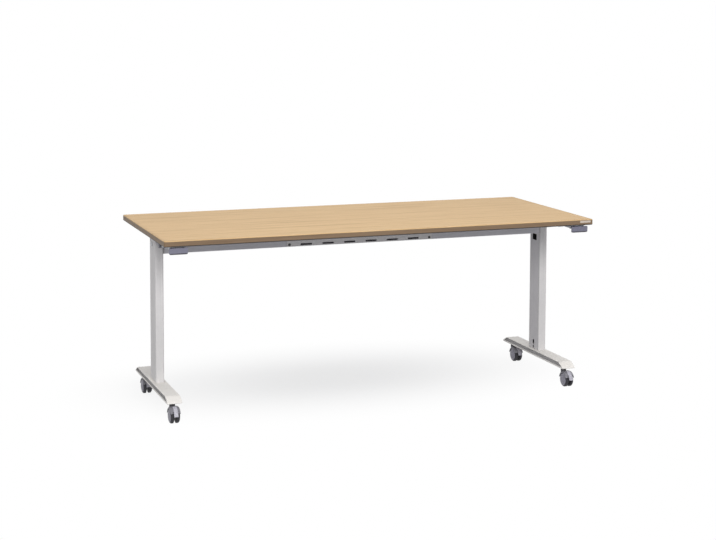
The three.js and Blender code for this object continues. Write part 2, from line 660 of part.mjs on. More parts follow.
// Lock bar: a bent bar from the lever's finger to the bolt end at the column, with a shoulder for the spring
function buildLock(side, label) {
  const half = BAR_THICKNESS / 2;
  const barFront = LEVER_PIN_Y + EYE_SLOT_HALF_DEPTH + CUT_PAST;
  const bendBack = BAR_BEND_FRONT + BAR_BEND_LENGTH;
  const bar = acrossX(
    [
      [barFront, BAR_Z - half],
      [BAR_BEND_FRONT, BAR_Z - half],
      [bendBack, BOLT_Z - half],
      [BOLT_TIP - 3, BOLT_Z - half],
      [BOLT_TIP, BOLT_Z - half + 2],
      [BOLT_TIP, BOLT_Z + half],
      [bendBack + 6, BOLT_Z + half],
      [BAR_BEND_FRONT + 6, BAR_Z + half],
      [barFront, BAR_Z + half],
    ],
    outward(side, -half, half),
  );
  const eye = block(
    outward(side, -EYE_HALF_WIDTH, EYE_HALF_WIDTH),
    [LEVER_PIN_Y - EYE_FRONT, LEVER_PIN_Y + EYE_BACK],
    [EYE_LOW, EYE_HIGH],
  );
  const slotHalf = FINGER_HALF_WIDTH + CUT_PAST;
  const eyeSlot = block(
    outward(side, -slotHalf, slotHalf),
    [LEVER_PIN_Y - EYE_SLOT_HALF_DEPTH, LEVER_PIN_Y + EYE_SLOT_HALF_DEPTH],
    [EYE_LOW - CUT_PAST, BAR_Z + half + CUT_PAST],
  );
  const shoulder = block(
    outward(side, -SEAT_HALF_WIDTH, SEAT_HALF_WIDTH),
    [SPRING_BACK + CUT_PAST, SPRING_BACK + CUT_PAST + SHOULDER_THICKNESS],
    [BAR_Z - SPRING_RADIUS - 2, BAR_Z + SPRING_RADIUS + 2],
  );
  addPart(`lock_bar_${label}`, bar.add(eye).subtract(eyeSlot).add(shoulder), 'steel');
}

// Guide for the bolt end, under the bracket's plate
function buildBoltGuide(side, label) {
  const room = BAR_THICKNESS / 2 + BAR_CLEARANCE;
  const high = TOP_UNDERSIDE - 2 * FIT_GAP - PLATE_THICKNESS;
  const guide = block(
    outward(side, -GUIDE_HALF_WIDTH, GUIDE_HALF_WIDTH),
    [GUIDE_FRONT, GUIDE_BACK],
    [BOLT_Z - room - GUIDE_FLOOR, high],
  );
  const passage = block(
    outward(side, -room, room),
    [GUIDE_FRONT - CUT_PAST, GUIDE_BACK + CUT_PAST],
    [BOLT_Z - room, BOLT_Z + room],
  );
  addPart(`bolt_guide_${label}`, guide.subtract(passage), 'hood');
}

// Spring wire: one unbroken helix round the lock bar, swept with a five-sided section
function buildSpring(side, label) {
  const stepsPerCurl = 8;
  const sides = 5;
  const steps = SPRING_CURLS * stepsPerCurl;
  const low = SPRING_FRONT + SPRING_WIRE + 0.2;
  const high = SPRING_BACK - SPRING_WIRE - 0.2;
  const center = (i) => {
    const turn = (2 * Math.PI * i) / stepsPerCurl;
    return new THREE.Vector3(
      side * LEG_X + SPRING_RADIUS * Math.cos(turn),
      low + ((high - low) * i) / steps,
      BAR_Z + SPRING_RADIUS * Math.sin(turn),
    );
  };
  const axis = new THREE.Vector3(0, 1, 0);
  const points = [];
  for (let i = 0; i <= steps; i += 1) {
    const turn = (2 * Math.PI * i) / stepsPerCurl;
    const out = new THREE.Vector3(Math.cos(turn), 0, Math.sin(turn));
    for (let k = 0; k < sides; k += 1) {
      const angle = (2 * Math.PI * k) / sides;
      points.push(center(i)
        .addScaledVector(out, SPRING_WIRE * Math.cos(angle))
        .addScaledVector(axis, SPRING_WIRE * Math.sin(angle)));
    }
  }
  const faces = [];
  for (let i = 0; i < steps; i += 1) {
    for (let k = 0; k < sides; k += 1) {
      const a = i * sides + k;
      const b = i * sides + ((k + 1) % sides);
      faces.push(a, b, a + sides, b, b + sides, a + sides);
    }
  }
  const last = steps * sides;
  for (let k = 1; k < sides - 1; k += 1) {
    faces.push(0, k + 1, k);
    faces.push(last, last + k, last + k + 1);
  }
  const geometry = new THREE.BufferGeometry().setFromPoints(points);
  geometry.setIndex(faces);
  geometry.computeVertexNormals();
  let least = Infinity;
  for (let i = 0; i <= steps; i += 1) {
    for (let j = i + stepsPerCurl / 2; j <= steps; j += 1) {
      least = Math.min(least, center(i).distanceTo(center(j)) - 2 * SPRING_WIRE);
    }
  }
  console.log(`lock_spring_${label}: least gap to itself ${least.toFixed(2)} mm`);
  addPart(`lock_spring_${label}`, geometry, 'steel');
}

// Part of a caster hood's round, at an angle in degrees from +Y towards +Z
function archPart(axleY, inner, outer, [from, to], across) {
  const turn = THREE.MathUtils.degToRad;
  return acrossX(ringSector(axleY, WHEEL_RADIUS, inner, outer, turn(from), turn(to)), across);
}

// Stem in the foot's boss, with the collar that the hood turns under
function buildStem(x, stemY, label) {
  const collarLow = SOCKET_TOP + 2 * FIT_GAP;
  const collarHigh = FOOT_BOTTOM - FIT_GAP;
  const stem = post(STEM_RADIUS, [SOCKET_TOP - STEM_DROP, FOOT_TOP - FOOT_WALL - CUT_PAST], x, stemY)
    .add(post(COLLAR_RADIUS, [collarLow, collarHigh], x, stemY));
  addPart(`caster_stem_${label}`, stem, 'steel');
}

// Shell over the wheels: a ring that follows their rounded shoulders, kept over part of the turn
function hoodShell(x, axleY) {
  const mirrored = (points) => points.map(([half, r]) => [-half, r]);
  const outside = [...mirrored(HOOD_OUTSIDE), ...[...HOOD_OUTSIDE].reverse()];
  const inside = [...HOOD_INSIDE, ...mirrored(HOOD_INSIDE).reverse()];
  const loop = [...outside, ...inside, outside[0]].map(([h, r]) => new THREE.Vector2(r, h));
  const ring = new THREE.LatheGeometry(loop, 48).rotateZ(-Math.PI / 2).translate(x, axleY, WHEEL_RADIUS);
  const past = HOOD_HALF_WIDTH + CUT_PAST;
  const kept = archPart(axleY, HOOD_SECTOR_INNER, HOOD_OUTER + CUT_PAST, HOOD_SPAN, [x - past, x + past]);
  return solid(ring).intersect(kept);
}

// Hood over both wheels, with the web between them, the stem socket and the pedal's ears
function buildHood(x, stemY, axleY, label) {
  const across = (half) => [x - half, x + half];
  const axleZ = WHEEL_RADIUS;
  const past = across(HOOD_HALF_WIDTH + CUT_PAST);
  const wheelRoom = barX(HOOD_INNER - SOCKET_BELOW_HOOD, past, axleY, axleZ, 32);
  let mount = post(SOCKET_RADIUS, [SOCKET_LOW, SOCKET_TOP], x, stemY);
  const earIn = PEDAL_HALF_WIDTH + LEVER_SIDE_ROOM;
  const [hingeY, hingeZ] = pedalHinge(axleY);
  for (const way of [-1, 1]) {
    const ear = [x + way * earIn, x + way * (earIn + PEDAL_EAR)];
    mount = mount.add(barX(PEDAL_EAR_RADIUS, ear, hingeY, hingeZ, 16));
  }
  const webPoint = (angle) => [
    axleY + (HOOD_INNER + CUT_PAST) * Math.cos(THREE.MathUtils.degToRad(angle)),
    axleZ + (HOOD_INNER + CUT_PAST) * Math.sin(THREE.MathUtils.degToRad(angle)),
  ];
  const web = acrossX(
    [[axleY, axleZ - AXLE_RADIUS], ...[30, 60, 90, 120, 140].map(webPoint)], across(WEB_HALF_WIDTH),
  );
  const hood = hoodShell(x, axleY)
    .add(mount.subtract(wheelRoom))
    .add(web)
    .add(barX(AXLE_BOSS_RADIUS, across(WEB_HALF_WIDTH), axleY, axleZ))
    .subtract(barX(AXLE_RADIUS + FIT_GAP, past, axleY, axleZ))
    .subtract(barX(PEDAL_PIN_RADIUS + PIVOT_CLEARANCE, past, hingeY, hingeZ, 12))
    .subtract(post(
      STEM_RADIUS + STEM_CLEARANCE, [SOCKET_TOP - STEM_DROP - CUT_PAST, SOCKET_TOP + CUT_PAST], x, stemY,
    ));
  addPart(`caster_hood_${label}`, hood, 'hood');
}

function buildWheels(x, axleY, label) {
  const axleEnd = WHEEL_OUTER - 3.5;
  const axle = barX(AXLE_RADIUS, [x - axleEnd, x + axleEnd], axleY, WHEEL_RADIUS);
  addPart(`caster_axle_${label}`, axle, 'steel');
  const bore = AXLE_RADIUS + PIVOT_CLEARANCE;
  const profile = [
    [0, WHEEL_OUTER - 3],
    [bore, WHEEL_OUTER - 3],
    [bore, WHEEL_INNER],
    [WHEEL_RADIUS - 1.5, WHEEL_INNER],
    [WHEEL_RADIUS, WHEEL_INNER + 1.5],
    [WHEEL_RADIUS, WHEEL_OUTER - 8],
    [WHEEL_RADIUS - 1, WHEEL_OUTER - 6],
    [WHEEL_RADIUS - 3.4, WHEEL_OUTER - 3.8],
    [WHEEL_RADIUS - 7, WHEEL_OUTER - 2.1],
    [WHEEL_RADIUS - 13, WHEEL_OUTER - 0.7],
    [WHEEL_RADIUS - 22, WHEEL_OUTER],
    [0, WHEEL_OUTER],
  ].map(([r, h]) => new THREE.Vector2(r, h));
  for (const [way, place] of [[-1, 'left'], [1, 'right']]) {
    const wheel = new THREE.LatheGeometry(profile, 24).rotateZ(-way * Math.PI / 2);
    addPart(`wheel_${place}_${label}`, solid(wheel.translate(x, axleY, WHEEL_RADIUS)), 'wheel');
  }
}

function pedalHinge(axleY) {
  return [
    axleY + PEDAL_HINGE_RADIUS * Math.cos(PEDAL_HINGE_ANGLE),
    WHEEL_RADIUS + PEDAL_HINGE_RADIUS * Math.sin(PEDAL_HINGE_ANGLE),
  ];
}

// Brake pedal: a shell over the hood, a hanging tongue for the shoe and a pin in the hood's ears
function buildPedal(x, axleY, label) {
  const across = [x - PEDAL_HALF_WIDTH, x + PEDAL_HALF_WIDTH];
  const [hingeY, hingeZ] = pedalHinge(axleY);
  const shell = archPart(axleY, HOOD_OUTER + 0.6, HOOD_OUTER + 3.4, PEDAL_SPAN, across);
  const tip = [hingeY - TONGUE_REACH, hingeZ - TONGUE_DROP];
  const tongue = acrossX(
    [
      [hingeY + 1, hingeZ + 1.8],
      [hingeY - TONGUE_REACH * 0.26, hingeZ],
      [hingeY - TONGUE_REACH * 0.66, hingeZ - TONGUE_DROP * 0.38],
      [hingeY - TONGUE_REACH * 0.92, hingeZ - TONGUE_DROP * 0.8],
      tip,
      [tip[0] + TONGUE_THICKNESS, tip[1] - 0.3],
      [hingeY - TONGUE_REACH * 0.92 + TONGUE_THICKNESS + 0.4, hingeZ - TONGUE_DROP * 0.8],
      [hingeY - TONGUE_REACH * 0.66 + TONGUE_THICKNESS + 0.6, hingeZ - TONGUE_DROP * 0.42],
      [hingeY - 0.5, hingeZ - 2.2],
    ],
    across,
  );
  const pinEnd = PEDAL_HALF_WIDTH + PEDAL_EAR;
  const pin = barX(PEDAL_PIN_RADIUS, [x - pinEnd, x + pinEnd], hingeY, hingeZ, 12);
  addPart(`brake_pedal_${label}`, shell.add(tongue).add(pin), 'pedal');
}

// Twin-wheel caster: stem, hood, axle, two wheels and brake pedal
function buildCaster(side, end, label) {
  const x = side * LEG_X;
  const stemY = LEG_Y + end * STEM_SPAN / 2;
  const axleY = stemY - CASTER_TRAIL;
  buildStem(x, stemY, label);
  buildHood(x, stemY, axleY, label);
  buildWheels(x, axleY, label);
  buildPedal(x, axleY, label);
}

const SIDES = [[-1, 'left'], [1, 'right']];
const ENDS = [[-1, 'front'], [1, 'rear']];

buildTop();
buildBeam();
for (const [side, label] of SIDES) {
  buildColumn(side, label);
  buildCover(side, label);
  buildColumnBase(side, label);
  buildFoot(side, label);
  buildTopBracket(side, label);
  buildPivot(side, label);
  buildLeverMount(side, label);
  buildLever(side, label);
  buildLock(side, label);
  buildBoltGuide(side, label);
  buildSpring(side, label);
  for (const [end, place] of ENDS) {
    buildCaster(side, end, `${place}_${label}`);
  }
}

export default table;
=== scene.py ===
# Flip top training table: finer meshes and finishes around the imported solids, in the same frame.
# Sizes are written in millimetres and scaled to metres when a mesh is made.
import math

import bmesh
import bpy
from mathutils import Matrix, Vector


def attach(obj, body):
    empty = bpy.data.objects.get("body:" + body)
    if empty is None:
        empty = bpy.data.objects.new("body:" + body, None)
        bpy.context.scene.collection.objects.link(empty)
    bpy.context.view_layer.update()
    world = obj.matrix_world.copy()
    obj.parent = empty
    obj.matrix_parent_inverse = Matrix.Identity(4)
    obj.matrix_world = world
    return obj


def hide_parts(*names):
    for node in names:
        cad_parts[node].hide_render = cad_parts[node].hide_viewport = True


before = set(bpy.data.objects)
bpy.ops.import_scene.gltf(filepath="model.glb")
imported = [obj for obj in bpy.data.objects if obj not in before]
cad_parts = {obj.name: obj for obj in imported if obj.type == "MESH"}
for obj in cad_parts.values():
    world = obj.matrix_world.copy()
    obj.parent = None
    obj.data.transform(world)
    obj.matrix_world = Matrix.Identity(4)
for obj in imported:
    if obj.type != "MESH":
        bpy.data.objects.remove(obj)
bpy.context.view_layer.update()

MM = 0.001
FIT_GAP = 0.3
CUT_PAST = 1.0
WELD = 1e-3
AXIS_WELD = 5e-3
AXIS_RADIUS = 1e-4
SLIVER = 0.003
FLAT_DEGREES = 0.4
STRAIGHT = 1e-3
EASE = 0.5
CHAMFER = 0.6
PIN_CHAMFER = 0.4

# Top
TABLE_LENGTH = 1800
TABLE_DEPTH = 750
TABLE_HEIGHT = 720
TOP_UNDERSIDE = 696
UNDERSIDE_SKIN = 0.2
EDGE_ROUND = 4
CORNER_ROUND = 6
LEAST_ROUND = 0.05
BAND_DEPTH = 6
FACES_UP = 0.3
FACES_DOWN = -0.1
EDGE_PLATE = ((841, 706.5), (889, 715.0))
EDGE_PLATE_PROUD = 0.5
EDGE_PLATE_SUNK = 0.3

# Legs
LEG_X = 843
LEG_Y = -5
COLUMN_WIDTH = 34
COLUMN_Y = 2.25
COLUMN_DEPTH = 96.5
COLUMN_WALL = 2.5
COLUMN_ROUND = 6
COLUMN_TOP = 688
COLUMN_FRONT = COLUMN_Y - COLUMN_DEPTH / 2
COLUMN_BACK = COLUMN_Y + COLUMN_DEPTH / 2
INSIDE_ROOM = 0.2
COVER_WIDTH = 82
COVER_TOP = 613
COVER_WALL = 2
COVER_LEG = 10
COVER_SEAM = 2.4
RIM_TILT = 0.3
CABLE_HOLE_PLACE = (6, 594)
CABLE_HOLE_SIZE = (38, 26)
EXIT_SLOT_PLACE = (5, 132.5)
EXIT_SLOT_SIZE = (14, 22)
EXIT_DOT_PLACE = (5, 112.5)
EXIT_DOT_RADIUS = 6
FOOT_WIDTH = 58
FOOT_LENGTH = 570
FOOT_BOTTOM = 78
FOOT_TOP = 102
FOOT_SLOPE_LENGTH = 36
FOOT_NOSE = 5
FOOT_WALL = 4
FOOT_SIDE_WALL = 10
FOOT_GROOVE_HEIGHT = 15
FOOT_GROOVE_DEPTH = 6
FOOT_GROOVE_TOP = FOOT_TOP - 2.5
FOOT_GROOVE_END = 7
GROOVE_ROOM = 0.3
GROOVE_RIM = 0.7
GROOVE_FLOOR = FOOT_GROOVE_DEPTH + 0.5
BOSS_RADIUS = 13
BOSS_ROOF = 2

# Flip pivot
PIVOT_Y = 9.5
PIVOT_Z = 650
PIVOT_RADIUS = 5
PIVOT_BORE = 5.4
PIN_END = 1
CAP_RADIUS = 9
CAP_HEIGHT = 3.0
CAP_SOCKET = 3.4
CAP_FLOOR = 1.2
WASHER_RADIUS = 12
HEAD_RADIUS = 41
HUB_WIDTH = 20
HUB_RADIUS = 15
HUB_FLARE = 8
SIDE_ROOM = 2
SWING_DROP = 8
PLATE_THICKNESS = 3
PLATE_FRONT = -226
PLATE_BACK = 150
PLATE_WIDTH = 60
PLATE_SCREW_X = 21
PLATE_SCREW_Y = (-212, -120, 70, 136)
PLATE_SCREW_SINK = 0.6

# Beam and panel
BEAM_FRONT = -46
BEAM_BACK = 32
BEAM_BOTTOM = 617
BEAM_FRONT_TOP = 690
BEAM_BACK_TOP = 672
BEAM_WALL = 2
BEAM_LIP = 18
BEAM_REACH = LEG_X - COLUMN_WIDTH / 2 - 3.6
FOLD_OUTSIDE = 3.2
FOLD_INSIDE = 1.2
SHEET_ROUND = 0.7
PANEL_HALF = 318
PANEL_LOW = BEAM_BOTTOM + 2
PANEL_HIGH = PANEL_LOW + 63
PANEL_SCREW_X = 307
PANEL_SCREW_SINK = 0.2
WINDOW = ((-290, PANEL_LOW + 3), (290, PANEL_HIGH - 10))
SLOT_COUNT = 6
SLOT_PITCH = 94
SLOT_SIZE = (49, 7)
SLOT_Z = 626
PANEL_SCREW_Z = (SLOT_Z, PANEL_HIGH - 9)
BUFFER_X = 560
BUFFER_Y = BEAM_FRONT + 10
BUFFER_RADIUS = 7
SCREW_HEIGHT = 2.4

# Lever and lock
LEVER_WIDTH = 72
LEVER_BODY_WIDTH = 53
LEVER_FRONT = -368
LEVER_PIN_Y = -339
LEVER_PIN_Z = 685
LEVER_PIN_RADIUS = 2.5
LEVER_HOLE = 2.9
LEVER_BOSS = 5
LEVER_TOP = 691
LEVER_LIP = 666
LEVER_LIP_DEPTH = 11
LEVER_WALL = 6
LEVER_ARM_TOP = 684.5
LEVER_ARM_HEIGHT = 5
LEVER_EARS = LEVER_BODY_WIDTH / 2 + 4.5
GRIP_HEIGHT = 5.0
GRIP_STEP = 0.5
FINGER_HALF_WIDTH = 4
FINGER_HALF_DEPTH = 3
FINGER_ROOT = 4
FINGER_REACH = 21
BAR_Z = 677
BOLT_Z = 657
BOLT_HALF = 4.6
NOTCH_RISE = 2.6
SEAT_HALF = 11
SEAT_THICKNESS = 4
SPRING_FRONT = -200
SPRING_BACK = -152
SPRING_RADIUS = 8
SPRING_WIRE = 0.9
SPRING_END_GAP = 0.2
SPRING_CURLS = 7
LOCK_TRAVEL = 2.2

# Casters
STEM_SPAN = 480
STEM_RADIUS = 5.5
STEM_BORE = 5.9
STEM_SUNK = 12
STEM_TOP = 97
COLLAR_RADIUS = 12
CASTER_TRAIL = 29
WHEEL_RADIUS = 30
WHEEL_INNER = 5
WHEEL_OUTER = 21
WHEEL_BORE = 3.4
WHEEL_COVER_INSET = 4.4
WHEEL_COVER_DEPTH = 5.85
AXLE_RADIUS = 3
AXLE_BORE = 3.3
AXLE_BOSS = 8
AXLE_END = WHEEL_OUTER - 3.5
HOOD_OUTSIDE = [
    (20.5, 27.0), (20.4, 28.6), (20.0, 30.0), (19.0, 31.7), (17.5, 33.0), (15.4, 34.2), (13.0, 35.0),
    (10.0, 35.7), (7.0, 36.0),
]
HOOD_INNER = 32
HOOD_INSIDE = [(18.6, 27.2), (18.2, 28.8), (17.2, 30.2), (16.0, 31.3), (14.5, HOOD_INNER)]
HOOD_HALF_WIDTH = 20.5
HOOD_CUT = 25
HOOD_ANGLES = (12, 158)
WEB_HALF = 3.6
WEB_RADIUS = 33
WEB_ANGLES = range(28, 143, 6)
WEB_DROP = 3
SOCKET_RADIUS = 11.5
SOCKET_LOW = 40
SOCKET_TOP = 69.5
EAR_RADIUS = 4.6
EAR_NEAR = 8.5
EAR_FAR = 11.5
PEDAL_HALF_WIDTH = 8
PEDAL_INNER = 36.6
PEDAL_CREST = 39.4
PEDAL_ANGLES = (108, 152)
PEDAL_HINGE_ANGLE = 150
PEDAL_HINGE_RADIUS = 38.4
PEDAL_PIN_RADIUS = 2
PEDAL_PIN_PAST = 3
PEDAL_BORE = 2.4
TONGUE_REACH = 10
TONGUE_DROP = 16
TONGUE_THICKNESS = 2.8

# Place that the lamps face, in metres
LAMP_TARGET = (0.0, 0.0, 0.4)

# Colour sockets of a mix node
MIX_FIRST = 6
MIX_SECOND = 7
MIX_COLOR = 2

WHITE = (1.0, 1.0, 1.0)
SIDES = ((-1, "left"), (1, "right"))
ENDS = ((-1, "front"), (1, "rear"))


# Finishes

def set_inputs(tree, node, inputs):
    """Links sockets and sets plain values."""
    for key, value in inputs.items():
        if isinstance(value, bpy.types.NodeSocket):
            tree.links.new(value, node.inputs[key])
        else:
            node.inputs[key].default_value = value


def add_node(tree, kind, inputs=None, **settings):
    made = tree.nodes.new(kind)
    for key, value in settings.items():
        setattr(made, key, value)
    set_inputs(tree, made, inputs or {})
    return made


def result(tree, kind, inputs, **settings):
    """First output of a new node."""
    return add_node(tree, kind, inputs, **settings).outputs[0]


def start_material(name, inputs):
    material = bpy.data.materials.new(name)
    material.use_nodes = True
    tree = material.node_tree
    shader = tree.nodes["Principled BSDF"]
    set_inputs(tree, shader, inputs)
    return material, tree, shader


def object_place(tree):
    return add_node(tree, "ShaderNodeTexCoord").outputs["Object"]


def stretched(tree, scale=(1.0, 1.0, 1.0), shift=(0.0, 0.0, 0.0)):
    """Object coordinates stretched by a scale for each axis, then shifted."""
    return result(tree, "ShaderNodeMapping", {
        "Vector": object_place(tree), "Scale": scale, "Location": shift,
    })


def cloud(tree, vector, scale, detail, roughness=0.55):
    return result(tree, "ShaderNodeTexNoise", {
        "Vector": vector, "Scale": scale, "Detail": detail, "Roughness": roughness,
    })


def graded(tree, fac, stops):
    """Colour ramp with (position, colour) stops."""
    ramp = add_node(tree, "ShaderNodeValToRGB", {"Fac": fac})
    elements = ramp.color_ramp.elements
    while len(elements) < len(stops):
        elements.new(0.5)
    for element, (position, color) in zip(elements, stops):
        element.position = position
        element.color = (*color, 1.0)
    return ramp.outputs["Color"]


def ranged(tree, value, low, high, start=0.0, end=1.0, curve="LINEAR"):
    """Value between start and end carried over to low and high."""
    return result(tree, "ShaderNodeMapRange", {
        "Value": value, "From Min": start, "From Max": end, "To Min": low, "To Max": high,
    }, interpolation_type=curve)


def calculated(tree, operation, first, second):
    return result(tree, "ShaderNodeMath", {0: first, 1: second}, operation=operation)


def bumped(tree, height, strength, distance):
    return result(tree, "ShaderNodeBump", {"Height": height, "Strength": strength, "Distance": distance})


def mixed(tree, first, second, amount, blend="MIX"):
    """Second colour laid on the first by an amount."""
    mix = add_node(tree, "ShaderNodeMix", {
        "Factor": amount, MIX_FIRST: first, MIX_SECOND: second,
    }, data_type="RGBA", blend_type=blend)
    return mix.outputs[MIX_COLOR]


def multiplied(tree, first, second, amount):
    return mixed(tree, first, second, amount, "MULTIPLY")


def worn(tree, color, tint, amount):
    """Outer edges rubbed towards a tint, in patches."""
    edge = add_node(tree, "ShaderNodeNewGeometry").outputs["Pointiness"]
    rub = ranged(tree, edge, 0.0, amount, start=0.52, end=0.62)
    patches = ranged(tree, cloud(tree, stretched(tree), 70.0, 2.0), 0.2, 1.0)
    return mixed(tree, color, (*tint, 1.0), calculated(tree, "MULTIPLY", rub, patches))


def backed(tree, color):
    """Grey balancing sheet on the underside of a top."""
    place = object_place(tree)
    height = add_node(tree, "ShaderNodeSeparateXYZ", {"Vector": place}).outputs["Z"]
    under = calculated(tree, "LESS_THAN", height, (TOP_UNDERSIDE + UNDERSIDE_SKIN) * MM)
    specks = cloud(tree, place, 900.0, 2.0)
    sheet = graded(tree, specks, [(0.35, (0.36, 0.36, 0.38)), (0.65, (0.42, 0.42, 0.44))])
    return mixed(tree, color, sheet, under)


def oak(name, light, dark):
    """Straight oak grain along X: wide bands, fine fibres and short pores."""
    material, tree, shader = start_material(name, {"Specular IOR Level": 0.3})
    bands = cloud(tree, stretched(tree, (0.55, 13.0, 13.0)), 3.2, 3.0)
    fibres = cloud(tree, stretched(tree, (3.0, 230.0, 230.0)), 2.0, 2.0)
    pores = cloud(tree, stretched(tree, (16.0, 520.0, 520.0)), 1.0, 1.0)
    middle = [0.5 * (a + b) for a, b in zip(light, dark)]
    tone = graded(tree, bands, [(0.30, dark), (0.52, light), (0.72, middle)])
    fibre_tone = graded(tree, fibres, [(0.30, (0.80, 0.76, 0.70)), (0.60, WHITE)])
    pore_tone = graded(tree, pores, [(0.27, (0.62, 0.52, 0.42)), (0.36, WHITE)])
    color = multiplied(tree, multiplied(tree, tone, fibre_tone, 0.55), pore_tone, 0.55)
    set_inputs(tree, shader, {
        "Base Color": backed(tree, color), "Roughness": ranged(tree, fibres, 0.56, 0.46),
        "Normal": bumped(tree, fibres, 0.10, 0.0004),
    })
    return material


def grained(name, color, roughness, fleck, depth, grain, metallic=0.0):
    """Coated or moulded surface: a slow drift of tone, fine flecks and a fine grain in the gloss and bump."""
    material, tree, shader = start_material(name, {"Metallic": metallic})
    place = stretched(tree)
    drift = cloud(tree, place, 9.0, 2.0)
    flecks = cloud(tree, place, grain, 2.0, 0.6)
    mottle = cloud(tree, place, 65.0, 4.0, 0.6)
    dark = [c * (1.0 - fleck) for c in color]
    light = [min(1.0, c * (1.0 + fleck)) for c in color]
    rubbed = [min(1.0, 0.05 + c * 1.25) for c in color]
    tone = graded(tree, flecks, [(0.35, dark), (0.65, light)])
    slow = graded(tree, drift, [(0.35, (0.94, 0.94, 0.94)), (0.65, WHITE)])
    patchy = graded(tree, mottle, [(0.38, (0.96, 0.96, 0.965)), (0.60, WHITE)])
    tone = multiplied(tree, multiplied(tree, tone, slow, 0.8), patchy, 0.7)
    fine_gloss = ranged(tree, flecks, roughness - 0.10, roughness + 0.04)
    gloss = calculated(tree, "ADD", fine_gloss, ranged(tree, mottle, 0.0, 0.10))
    set_inputs(tree, shader, {
        "Base Color": worn(tree, tone, rubbed, 0.6), "Roughness": gloss,
        "Normal": bumped(tree, flecks, depth, 0.0003),
    })
    return material


def brushed_zinc(name):
    """Zinc plated steel: cloudy gloss with faint brushing along Y."""
    material, tree, shader = start_material(name, {"Metallic": 1.0})
    spangle = cloud(tree, stretched(tree), 60.0, 3.0)
    brushing = cloud(tree, stretched(tree, (700.0, 20.0, 700.0)), 1.0, 2.0)
    tone = graded(tree, spangle, [(0.35, (0.42, 0.43, 0.45)), (0.65, (0.58, 0.59, 0.61))])
    set_inputs(tree, shader, {
        "Base Color": tone, "Roughness": ranged(tree, spangle, 0.28, 0.44),
        "Normal": bumped(tree, brushing, 0.08, 0.0002),
    })
    return material


def powder_coat(name, color):
    return grained(name, color, 0.48, 0.06, 0.10, 1500.0, metallic=0.03)


OAK = oak("oak_laminate", (0.735, 0.503, 0.255), (0.580, 0.380, 0.176))
# Darker copy of the top's oak for the edge band: painted shade on the band's upright faces, which turn away
# from the light above.
SHADED_EDGE_OAK = oak("oak_edge_band_painted_shade", (0.250, 0.171, 0.106), (0.202, 0.135, 0.081))
# Near black oak for the band's lower rounding: painted shade along the bottom of the edge.
EDGE_SHADE = oak("oak_edge_painted_shade", (0.042, 0.032, 0.029), (0.034, 0.026, 0.023))
SILVER = powder_coat("silver_powder_coat", (0.760, 0.742, 0.735))
# The beam's coat is darker and bluer than the silver: partly painted shade for the beam set back under the
# top, partly a bluer paint than the panel's.
SHADED_BEAM_GREY = powder_coat("beam_coat_painted_shade", (0.620, 0.610, 0.640))
COLUMN_COVER = powder_coat("column_cover_coat", (0.690, 0.672, 0.682))
ZINC = brushed_zinc("zinc_plate")

# After the colour: roughness, fleck, bump depth and grain
# Mid grey: painted shade inside the feet's grooves, and the paint of the beam's end plates.
PLATE_AND_GROOVE_SHADE_GREY = grained("end_plate_paint_and_groove_shade", (0.48, 0.47, 0.465), 0.55, 0.06, 0.08, 1500.0)
PALE = grained("pale_satin_paint", (0.965, 0.93, 0.875), 0.46, 0.03, 0.08, 1500.0)
CREAM = grained("edge_plate_enamel", (0.66, 0.57, 0.48), 0.40, 0.05, 0.06, 1200.0)
LEVER_GREY = grained("lever_plastic", (0.192, 0.190, 0.250), 0.45, 0.06, 0.14, 2400.0)
# Near black for the foot of the lever's front and its lip: painted shade under the lip.
LIP_SHADE_GREY = grained("lever_lip_painted_shade", (0.060, 0.058, 0.072), 0.6, 0.10, 0.25, 1500.0)
HOOD_GREY = grained("hood_plastic", (0.22, 0.215, 0.24), 0.42, 0.08, 0.16, 2600.0)
COVER_GREY = grained("wheel_cover_plastic", (0.30, 0.29, 0.345), 0.40, 0.05, 0.12, 2600.0)
TREAD = grained("wheel_tread_rubber", (0.020, 0.019, 0.026), 0.55, 0.12, 0.20, 1800.0)
PEDAL_GREY = grained("pedal_plastic", (0.50, 0.49, 0.545), 0.42, 0.04, 0.12, 2600.0)
# Near black for the insides of the columns and the rims of the covers' holes: painted shade.
INSIDE_SHADE = grained("inside_painted_shade", (0.10, 0.10, 0.10), 0.6, 0.12, 0.15, 900.0)
RUBBER = grained("buffer_rubber", (0.020, 0.020, 0.020), 0.75, 0.15, 0.25, 1800.0)
BEARING = grained("bearing_plastic", (0.045, 0.045, 0.045), 0.40, 0.10, 0.10, 2600.0)


# Shapes

def rounded(points, radius, steps=5):
    """Closed outline with its corners rounded; a point may carry its own radius."""
    made = []
    count = len(points)
    for i in range(count):
        before = Vector(points[i - 1][:2])
        here = Vector(points[i][:2])
        after = Vector(points[(i + 1) % count][:2])
        own = points[i][2] if len(points[i]) > 2 else radius
        to_before = (before - here).normalized()
        to_after = (after - here).normalized()
        half = to_before.angle(to_after) / 2
        if own <= 0 or half < STRAIGHT or half > math.pi / 2 - STRAIGHT:
            made.append(tuple(here))
            continue
        centre = here + (to_before + to_after).normalized() * (own / math.sin(half))
        start = here + to_before * (own / math.tan(half)) - centre
        end = here + to_after * (own / math.tan(half)) - centre
        sweep = start.angle_signed(end)
        for step in range(steps + 1):
            turn = Matrix.Rotation(-sweep * step / steps, 2)
            made.append(tuple(centre + turn @ start))
    return made


def rectangle(low, high):
    return [(low[0], low[1]), (high[0], low[1]), (high[0], high[1]), (low[0], high[1])]


def centred(middle, size):
    """Rectangle about its middle."""
    half = Vector(size) / 2
    return rectangle(Vector(middle) - half, Vector(middle) + half)


def around(centre, radius, degrees):
    """Point on a circle in Y and Z, from +Y towards +Z."""
    angle = math.radians(degrees)
    return centre[0] + radius * math.cos(angle), centre[1] + radius * math.sin(angle)


